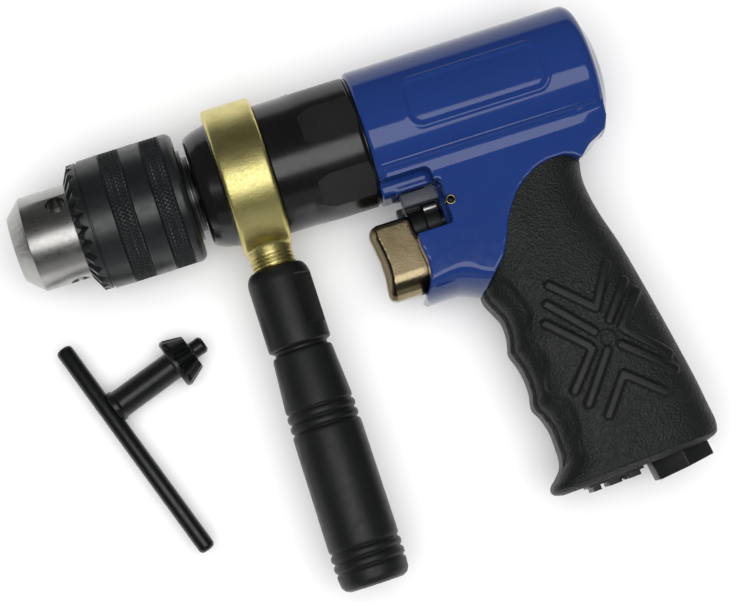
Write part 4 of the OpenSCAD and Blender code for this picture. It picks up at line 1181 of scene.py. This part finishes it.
@dataclass
class SideHandle:
    """Cast brass ring with its threaded stub, and the moulded grip. Sizes in millimetres."""

    axis_x: float = 79.05
    ring: Point = (70.7, 87.4)
    ring_r: float = 25.4
    seat_r: float = 21.35
    stub_r: float = 7.15
    pitch: float = 1.25
    top_y: float = -32.0
    boss_y: float = -18.0
    thread_y: float = -24.6
    thread_turns: int = 5
    thread_steps: int = 240
    rib_pitch: float = 3.3
    bore_r: float = 5.0
    inner_r: float = 20.6
    edge: float = 0.7
    skin_drop: float = 0.05
    skin_top: float = 0.06
    skin_gap: float = 0.8
    skin_from_y: float = -20.0
    voxel: float = 0.5
    smoothing: int = 8
    flat_round: float = 0.8
    rib_round: float = 0.4

    SEAT = (60, 95)
    BORE_L = 60
    THREAD = ((0, -0.4), (0.52, 0.28), (0.68, 0.28), (1.2, -0.4))
    WAVES = ((0.13, 0.05), (0.5, 0.02), (1.3, 0.01))
    BOSS = ((0, 0), (0, 8.6), (6.5, 8.1), (9.5, stub_r), (13.6, stub_r), (13.6, 0))
    RIB = ((0, -0.8), (0.6, -0.12), (1.5, 0.0), (2.4, -0.12), (3, -0.8))
    RIB_BANDS = ((48.1, 11.6), (95.6, 12.0))
    FLAT = ((-9, -53.5, 9.3), (9, -36.2, 20))
    FLAT_TURNS = (52, 232)
    SOCKET = ((32, 0), (32, 8.05))
    COLLAR = (
        (0, 8.05), (0, 8.6), (0.8, 9.5), (2.4, 10.3), (4, 10.6), (26.4, 10.6), (27, 9.8), (27.4, 8.9), (28.5, 8.9),
        (29, 10), (30, 10.2), (46.8, 11.4), (47.4, 11.2), (47.8, 10.8),
    )
    BODY = ((54.7, 10.8), (55.2, 11.5), (56.2, 11.7), (93.9, 11.9), (94.8, 11.7), (95.3, 11.2))
    END = ((102.2, 11.2), (102.8, 11.8), (106.3, 11.5), (107.8, 10.6), (108.6, 9), (108.6, 0))

    def cast(self, p: Vector, n: Vector) -> Vector:
        """Gives the ring the uneven skin of a sand casting.

        Args:
            p: Place of a vertex.
            n: Its normal.

        Returns:
            Its new place.
        """
        wave = sum(noise.noise(p * scale) * height for scale, height in self.WAVES)
        inside = math.hypot(p.y, p.z) < self.seat_r + self.skin_gap and p.y > self.skin_from_y
        return p if inside else p + n * (min(wave, self.skin_top) - self.skin_drop)

    def thread(self) -> bmesh.types.BMesh:
        """Winds the stub's thread as one ridge.

        Returns:
            The closed ridge.
        """
        bm = bmesh.new()
        turns, steps = self.thread_turns, self.thread_steps
        verts = [bm.verts.new((x * MM, 0, (self.stub_r + rise) * MM)) for x, rise in self.THREAD]
        edges = [bm.edges.new((verts[k], verts[(k + 1) % 4])) for k in range(4)]
        lead = (self.pitch * turns / steps * MM, 0, 0)
        last = bmesh.ops.spin(bm, geom=verts + edges, cent=(0, 0, 0), axis=(1, 0, 0), dvec=lead, angle=TAU * turns,
                              steps=steps)["geom_last"]
        bmesh.ops.contextual_create(bm, geom=edges)
        bmesh.ops.contextual_create(bm, geom=[g for g in last if isinstance(g, bmesh.types.BMEdge)])
        bmesh.ops.recalc_face_normals(bm, faces=bm.faces)
        return along_y(bm, self.axis_x, self.thread_y)

    def ribs(self, start: float, crown: float) -> list[Point]:
        """Profile of one band of two rounded ribs."""
        return [(start + self.rib_pitch * k + a, crown + b) for k in range(2) for a, b in self.RIB]

    def hoop(self) -> bmesh.types.BMesh:
        """Casts the ring with its stub.

        Returns:
            The bored casting.
        """
        (a, b), r = self.ring, self.ring_r
        low, edge = self.inner_r, self.edge
        section = [(a, low), (a, r - edge), (a + edge, r), (b - edge, r), (b, r - edge), (b, low)]
        hoop = Workpiece(lathe(section, 128, closed=True))
        hoop.join(along_y(lathe(self.BOSS, 64), self.axis_x, self.boss_y))
        hoop.soften(self.voxel, self.smoothing).move(self.cast)
        hoop.cut(rod(*self.SEAT, self.seat_r, 128), along_y(rod(0, self.BORE_L, self.bore_r, 48), self.axis_x, 0))
        return hoop.bm()

    def moulding(self) -> bmesh.types.BMesh:
        """Turns the grip with its ribs and two flats.

        Returns:
            The closed grip.
        """
        upper, lower = (self.ribs(*band) for band in self.RIB_BANDS)
        outside = [*self.COLLAR, *upper, *self.BODY, *lower, *self.END[:-1]]
        outline = [*rounded(outside, self.rib_round, 3), self.END[-1], *self.SOCKET]
        grip = Workpiece(along_y(lathe(outline, 128, closed=True), self.axis_x, self.top_y))
        for turn in self.FLAT_TURNS:
            grip.cut(moved(block(*self.FLAT, self.flat_round), shift(self.axis_x) @ turning(turn, "Y")))
        return grip.bm()

    def build(self) -> None:
        """Shows the ring, its thread and the grip."""
        show("handle_band", self.hoop(), Body.SIDE_HANDLE, Finishes.CAST_BRASS, ["handle_ring"],
             sharp=40)
        show("stub_thread", self.thread(), Body.SIDE_HANDLE, Finishes.CAST_BRASS, sharp=30)
        show("side_grip_moulding", self.moulding(), Body.SIDE_GRIP, Finishes.BLACK_PLASTIC,
             ["side_grip"], sharp=30)


@dataclass
class TriggerGroup:
    """Plated trigger, reverse lever and roll pins. Sizes in millimetres."""

    half_w: float = 8.0
    roll_y: float = -47.2
    roll_depth: float = 8.5
    face_w: float = 2.5
    face_depth: float = 4.4
    face_power: float = 1.12
    travel: float = 6.0
    edge: float = 1.5
    edge_angle: float = 50.0
    voxel: float = 0.3
    smoothing: int = 6
    hub_half: float = 12.4
    detent_span: Point = (131.2, 136.1)
    detent_r: float = 2.0
    detent_y: float = -28.6
    detent_z: float = 3.3
    collar_span: Point = (131.1, 136.1)
    collar_radii: Point = (4.1, 5.6)
    collar_y: float = -33.5
    soft: float = 0.4
    lever_edge: float = 0.5
    pin_edge: float = 0.3

    OUTLINE = (
        (114.6, -29.4), (126.0, -29.4), (126.4, -35), (128.2, -38.5), (128.2, -53.4), (127.0, -55.1),
        (114.0, -55.1), (112.4, -54.2), (111.9, -52.6), (112.2, -49.5), (112.6, -46), (112.6, -41), (112.0, -36),
        (111.5, -32.6), (111.8, -31), (112.8, -29.8),
    )
    FRONT = (
        (29.4, 112.0), (32.6, 111.5), (36, 112.0), (41, 112.6), (46, 112.6), (49.5, 112.2), (52.6, 111.9),
        (55.2, 112.0),
    )
    HOLLOW = ((117.5, -50.2, -6.6), (140, -20, 6.6))
    STEM_HOLE = (114.5, 125, -45, 2.5)

    def shaped(self, p: Vector, n: Vector) -> Vector:
        """Draws the trigger's sides in under its lower edge and towards its front.

        Args:
            p: Place of a vertex.
            n: Its normal, not used.

        Returns:
            Its new place.
        """
        drop = min(1.0, max(0.0, self.roll_y - p.y) / self.roll_depth)
        front = along(self.FRONT, -p.y)
        share = min(1.0, max(0.0, front + self.face_w - p.x) / self.face_w)
        half = 1 - self.face_depth * share ** self.face_power / self.half_w
        return Vector((p.x, p.y, p.z * math.sqrt(1 - drop ** 2) * half))

    def shoe(self) -> bmesh.types.BMesh:
        """Shapes the plated trigger.

        Returns:
            The hollowed trigger.
        """
        trigger = Workpiece(prism(self.OUTLINE, -self.half_w, self.half_w))
        trigger.apply("BEVEL", width=self.edge * MM, segments=4, limit_method="ANGLE",
                      angle_limit=math.radians(self.edge_angle), profile=0.5)
        trigger.soften(self.voxel, self.smoothing).move(self.shaped)
        trigger.cut(block(*self.HOLLOW), MotorHousing.round_hole(*self.STEM_HOLE))
        return trigger.bm()

    def spring(self) -> None:
        """Shows the valve's spring on a mesh of its own."""
        spring = show("valve_spring", cad_copy("throttle_spring"), Body.TOOL, Finishes.PLAIN_STEEL,
                      ["throttle_spring"])
        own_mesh(spring)

    def lever(self) -> None:
        """Dresses the reverse lever, its detent rods and the collar of its valve."""
        lever = show("reverse_tab", edged("reverse_lever", self.lever_edge), Body.LEVER,
                     Finishes.LEVER_GREY, ["reverse_lever"])
        second_finish(lever, Finishes.BLACK_PLASTIC, lambda face: abs(face.center.z) < self.hub_half * MM)
        (low, high), r = self.detent_span, self.detent_r
        for side, name in SIDES:
            detent = lathe(rounded([(low, 0), (low, r), (high, r), (high, 0)], self.soft, 3), 48)
            moved(detent, shift(0, self.detent_y, side * self.detent_z))
            show(f"detent_rod_{name}", detent, Body.LEVER, Finishes.BRIGHT_STEEL)
        collar = moved(washer(self.collar_span, self.collar_radii, self.soft, 64), shift(0, self.collar_y))
        show("valve_collar", collar, Body.LEVER, Finishes.BLACK_PLASTIC)

    def build(self) -> None:
        """Shows the trigger, its spring, the lever and the pins."""
        # The trigger's plated colour carries a painted brown reflection on top of the plating's own tone.
        show("trigger_shoe", self.shoe(), Body.TRIGGER, Finishes.NICKEL_AND_PAINTED_REFLECTION, ["trigger"], sharp=40)
        self.spring()
        self.lever()
        pins = edged("roll_pins", self.pin_edge)
        show("pin_pair", pins, Body.TOOL, Finishes.NICKEL_AND_PAINTED_REFLECTION, ["roll_pins"])


@dataclass
class HandleFittings:
    """Fittings under the handle, which keep their CAD form with broken edges. Sizes in millimetres."""

    inlet_edge: float = 0.7
    exhaust_edge: float = 0.4

    def build(self) -> None:
        """Breaks the edges of both fittings and gives both the black plastic finish."""
        rows = (("inlet_fitting", "inlet_bushing", self.inlet_edge, "black_enamel"),
                ("exhaust_lugs", "exhaust_deflector", self.exhaust_edge, "black_plastic"))
        for name, node, width, slot in rows:
            show(name, edged(node, width), Body.TOOL, Finishes.BLACK_PLASTIC, [node])


@dataclass
class GearCase:
    """Black gear case with a flared collar and six wrench flats. Sizes in millimetres."""

    flat_r: float = 21.9
    flat_turn: float = 16.0
    flat_from: float = 100.2
    flat_to: float = 119.6
    flat_half: float = 15.0
    flats: int = 6
    flat_top: float = 32.0
    flat_near: float = 0.02
    flat_lean: float = 0.01
    soft: float = 0.9
    back_x: float = 127.0
    back_r: float = 20.0
    shelf_x: float = 90.0

    OUTER = (
        (62.3, 11.4), (62.3, 17.4), (63.1, 18.6), (65.8, 19.8), (70.3, 20.9), (70.6, 21.3), (87.6, 21.3),
        (87.6, 22.1), (97.5, 22.1), (104.5, 22.9), (118.0, 22.9), (118.6, 21.8), (119.5, 21.8), (119.5, 20),
    )
    FRONT_BORE = ((shelf_x, 14), (64.5, 14), (64.5, 11.4))

    def build(self) -> None:
        """Turns the case and cuts its flats."""
        bore = max(abs(corner[1]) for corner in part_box("ring_gear")) / MM
        inner = [(self.back_x, self.back_r), (self.back_x, bore), (self.shelf_x, bore), *self.FRONT_BORE]
        case = Workpiece(lathe([*rounded(self.OUTER, self.soft, 12), *inner], 192, closed=True))
        half = self.flat_half
        for k in range(self.flats):
            flat = block((self.flat_from, -half, self.flat_r), (self.flat_to, half, self.flat_top))
            case.cut(moved(flat, turning(-(self.flat_turn + 360 / self.flats * k), "X")))
        shell = show("gear_case_shell", case.bm(), Body.TOOL, Finishes.BLACK_ENAMEL, ["gear_case"],
                     sharp=8)
        second_finish(shell, Finishes.MACHINED_BLACK, self.on_flat)

    def on_flat(self, face: bpy.types.MeshPolygon) -> bool:
        """Says whether a face lies on one of the wrench flats."""
        height = face.center.dot(face.normal) / MM
        return abs(face.normal.x) < self.flat_lean and abs(height - self.flat_r) < self.flat_near


@dataclass
class ChuckBody:
    """Ground steel nose of the chuck with its blackened back. Sizes in millimetres."""

    back_x: float = 30.5
    rim_x: float = 59.8
    flange_span: Point = (60.5, 62.0)
    flange_radii: Point = (10.3, 12.7)
    ring_span: Point = (60.22, 60.46)
    ring_radii: Point = (10.3, 13.1)
    edge: float = 0.22
    flange_round: float = 0.3
    ring_round: float = 0.08
    rim_lean: float = 0.2

    def build(self) -> None:
        """Breaks the body's edges and blackens its back."""
        body = show("chuck_nose", edged("chuck_body", self.edge), Body.SPINDLE,
                    Finishes.BRIGHT_STEEL, ["chuck_body"])
        second_finish(body, Finishes.KEY_OXIDE, self.blackened)
        flange = washer(self.flange_span, self.flange_radii, self.flange_round, 96)
        show("spindle_flange", flange, Body.SPINDLE, Finishes.KEY_OXIDE)
        ring = washer(self.ring_span, self.ring_radii, self.ring_round, 96)
        show("flange_ring", ring, Body.SPINDLE, Finishes.BRIGHT_STEEL)

    def blackened(self, face: bpy.types.MeshPolygon) -> bool:
        """Says whether a face lies on the blackened back, apart from its bright rim."""
        x = face.center.x / MM
        return self.back_x < x and not (x > self.rim_x and abs(face.normal.x) > self.rim_lean)


@dataclass
class ChuckKey:
    """Key with a bevel gear, a pilot and a cross bar. Sizes in millimetres."""

    place: tuple[float, float, float] = (11.6, -58.9, -16.6)
    turn: float = 18.5
    teeth: int = 11
    tooth_depth: float = 1.9
    cone_x: float = 28.2
    front_x: float = 34.5
    gear_r: float = 8.8
    front_r: float = 6.2
    bar_r: float = 2.9
    bar_l: float = 83.5
    short_side: float = 26.5
    gap_half: float = 0.33
    gap_width: float = 1.5
    tooth_run: Point = (-0.9, 1.0)
    tooth_inner_r: float = 4.2
    tooth_over: float = 0.1
    tooth_step: float = 0.3
    shank_round: float = 0.35
    pilot_round: float = 0.3
    hole_from: float = 20.0

    SHANK = ((2.2, 0), (2.2, 5.5), (3.9, 5.5), (4.7, 4.9), (26.5, 4.9), (26.5, 8.2))
    GEAR = (
        SHANK[-1], (27.1, 8.75), (cone_x, gear_r), (front_x - 0.3, front_r + 0.2), (front_x, front_r - 0.3),
        (front_x, 3.4),
    )
    PILOT = (GEAR[-1], (front_x + 0.4, 2.95), (38.5, 2.95), (39.4, 2.1), (39.4, 0))
    BAR_END = ((0, 0), (0.05, 1.3), (0.35, 2.2), (0.9, 2.7), (1.6, bar_r))

    def carve(self, p: Vector, n: Vector) -> Vector:
        """Sinks the tooth gaps into the gear's cone.

        Args:
            p: Place of a vertex.
            n: Its normal, not used.

        Returns:
            Its new place.
        """
        r = math.hypot(p.y, p.z)
        start, full = (self.cone_x + reach for reach in self.tooth_run)
        if not start <= p.x <= self.front_x + self.tooth_over or r < self.tooth_inner_r:
            return p
        phase = (math.atan2(p.z, p.y) / TAU * self.teeth) % 1.0
        gap = min(1.0, max(0.0, 1 - abs(phase - 0.5) / self.gap_half) * self.gap_width)
        cone = self.gear_r - (self.gear_r - self.front_r) * (p.x - self.cone_x) / (self.front_x - self.cone_x)
        floor_r = cone - self.tooth_depth * gap * smooth_step(start, full, p.x)
        keep = min(1.0, floor_r / r)
        return Vector((p.x, p.y * keep, p.z * keep))

    def placed(self, bm: bmesh.types.BMesh) -> bmesh.types.BMesh:
        """Lays a mesh of the key's own frame on the table."""
        return moved(bm, shift(*self.place) @ turning(self.turn, "Z"))

    def bar(self) -> bmesh.types.BMesh:
        """Turns the cross bar with domed ends."""
        far_end = [(self.bar_l - x, y) for x, y in reversed(self.BAR_END)]
        return along_y(lathe([*self.BAR_END, *far_end], 64), 0, self.short_side)

    def build(self) -> None:
        """Turns the shank, cuts its gear and makes the bar."""
        shank = rounded(self.SHANK, self.shank_round, 3)
        gear = dense(self.GEAR, self.tooth_step)
        pilot = rounded(self.PILOT, self.pilot_round, 3)
        piece = Workpiece(lathe([*shank[:-1], *gear[:-1], *pilot], 264)).move(self.carve)
        piece.cut(along_y(rod(0, 2 * self.hole_from, self.bar_r, 64), 0, self.hole_from))
        show("key_gear", self.placed(piece.bm()), Body.KEY, Finishes.KEY_OXIDE, ["key_shank"],
             sharp=30)
        show("key_handle", self.placed(self.bar()), Body.KEY, Finishes.KEY_OXIDE, ["key_bar"],
             sharp=30)


class InnerWorks:
    """CAD nodes that stay as they are, with a finish each."""

    SPECIAL = {"reverse_valve": Finishes.KEY_OXIDE, "spindle": Finishes.KEY_OXIDE}

    def build(self) -> None:
        """Gives every CAD node the finish of its slot, apart from those listed in SPECIAL."""
        rows = frame["record"]["subparts"]
        slots = {row["node"]: row["material_slot"] for row in rows if "material_slot" in row}
        for name, obj in frame["nodes"].items():
            finish = self.SPECIAL.get(name) or Finishes.BY_SLOT.get(slots.get(name, ""), Finishes.PLAIN_STEEL)
            obj.data.materials.clear()
            obj.data.materials.append(finish.material())


# ---------------------------------------------------------------- studio


class Outline(Enum):
    """Outlines of a soft box, with Blender's names."""

    OBLONG = "RECTANGLE"
    OVAL = "ELLIPSE"

    def area(self, width: float, height: float) -> float:
        """Area inside the outline."""
        return width * height * (math.pi / 4 if self is Outline.OVAL else 1.0)


@dataclass(frozen=True)
class SoftBox:
    """A soft box of an even brightness.

    Attributes:
        name: Name of the lamp.
        at: Place in metres.
        size: Width and height in metres.
        level: Brightness of its face.
        tilt: Turn about X in degrees, from facing straight down.
        outline: Outline of its face.
        mirrored: Whether bright surfaces show it.
    """

    name: str
    at: tuple[float, float, float]
    size: Point
    level: float
    tilt: float = 0.0
    outline: Outline = Outline.OBLONG
    mirrored: bool = True

    def hang(self) -> None:
        """Hangs the box over the table."""
        lamp = bpy.data.lights.new(self.name, "AREA")
        lamp.shape = self.outline.value
        lamp.size, lamp.size_y = self.size
        lamp.energy = self.level * math.pi * self.outline.area(*self.size)
        obj = bpy.data.objects.new(self.name, lamp)
        obj.location = self.at
        obj.rotation_euler = (math.radians(self.tilt), 0, 0)
        obj.visible_glossy = self.mirrored
        bpy.context.scene.collection.objects.link(obj)


@dataclass
class Studio:
    """White table, soft boxes and the photograph's camera. Sizes in metres."""

    floor_z: float = -0.0254
    camera_at: tuple[float, float, float] = (0.06187, -0.12709, 0.71296)
    camera_turn: tuple[float, float, float] = (6.753, -1.595, -18.018)
    lens: float = 104.36
    world_level: float = 0.07
    table_glow: float = 0.1
    table_half: float = 3.0
    table_gap: float = 0.0002
    table_white: float = 0.88
    table_rough: float = 0.9
    sensor: float = 36.0
    clip_start: float = 0.01

    BOXES = (
        SoftBox("soft_box", (0.063, -0.21, 0.9), (0.90, 0.52), 2.8, outline=Outline.OVAL),
        SoftBox("side_box", (0.10, -1.3, 0.35), (1.6, 0.6), 0.3, tilt=75),
        SoftBox("fill", (0.05, -0.25, 1.5), (2.0, 2.0), 2.3, mirrored=False),
    )

    def floor(self) -> None:
        """Lays the white table."""
        bm = bmesh.new()
        bmesh.ops.create_grid(bm, x_segments=1, y_segments=1, size=self.table_half)
        bmesh.ops.translate(bm, vec=(0, 0, self.floor_z - self.table_gap), verts=bm.verts)
        mesh = bpy.data.meshes.new("table")
        bm.to_mesh(mesh)
        bm.free()
        table = bpy.data.materials.new("white_table")
        table.use_nodes = True
        nodes, links = table.node_tree.nodes, table.node_tree.links
        shader = nodes["Principled BSDF"]
        shader.inputs["Base Color"].default_value = (*[self.table_white] * 3, 1)
        shader.inputs["Roughness"].default_value = self.table_rough
        path = nodes.new("ShaderNodeLightPath")
        seen = path.outputs["Is Camera Ray"]
        for ray in ("Is Glossy Ray", "Is Transmission Ray"):
            either = nodes.new("ShaderNodeMath")
            either.operation = "MAXIMUM"
            links.new(seen, either.inputs[0])
            links.new(path.outputs[ray], either.inputs[1])
            seen = either.outputs[0]
        level = nodes.new("ShaderNodeMath")
        level.operation = "MULTIPLY"
        level.inputs[1].default_value = self.table_glow
        links.new(seen, level.inputs[0])
        shader.inputs["Emission Color"].default_value = (1, 1, 1, 1)
        links.new(level.outputs[0], shader.inputs["Emission Strength"])
        mesh.materials.append(table)
        obj = bpy.data.objects.new("table", mesh)
        bpy.context.scene.collection.objects.link(obj)

    def lights(self) -> None:
        """Hangs the soft boxes and sets the room's level."""
        for box in self.BOXES:
            box.hang()
        world = bpy.data.worlds.new("room")
        world.use_nodes = True
        room = world.node_tree.nodes["Background"]
        room.inputs["Color"].default_value = (1.0, 1.0, 1.0, 1)
        room.inputs["Strength"].default_value = self.world_level
        bpy.context.scene.world = world

    def camera(self) -> None:
        """Sets the camera to the photograph's view."""
        data = bpy.data.cameras.new("view")
        data.sensor_width = self.sensor
        data.lens = self.lens
        data.clip_start = self.clip_start
        obj = bpy.data.objects.new("view", data)
        obj.location = self.camera_at
        obj.rotation_euler = [math.radians(a) for a in self.camera_turn]
        bpy.context.scene.collection.objects.link(obj)
        bpy.context.scene.camera = obj

    def build(self) -> None:
        """Sets up table, light and camera."""
        self.floor()
        self.lights()
        self.camera()
        bpy.context.scene.view_settings.view_transform = "Standard"


def main() -> None:
    """Builds every sub-assembly in order."""
    logging.basicConfig(level=logging.INFO, format="%(name)s %(message)s")
    order = (Studio, InnerWorks, MotorHousing, GripSleeve, ChuckSleeve, SideHandle, TriggerGroup, GearCase,
             ChuckBody, ChuckKey, HandleFittings)
    for group in order:
        group().build()


if __name__ == "__main__":
    main()
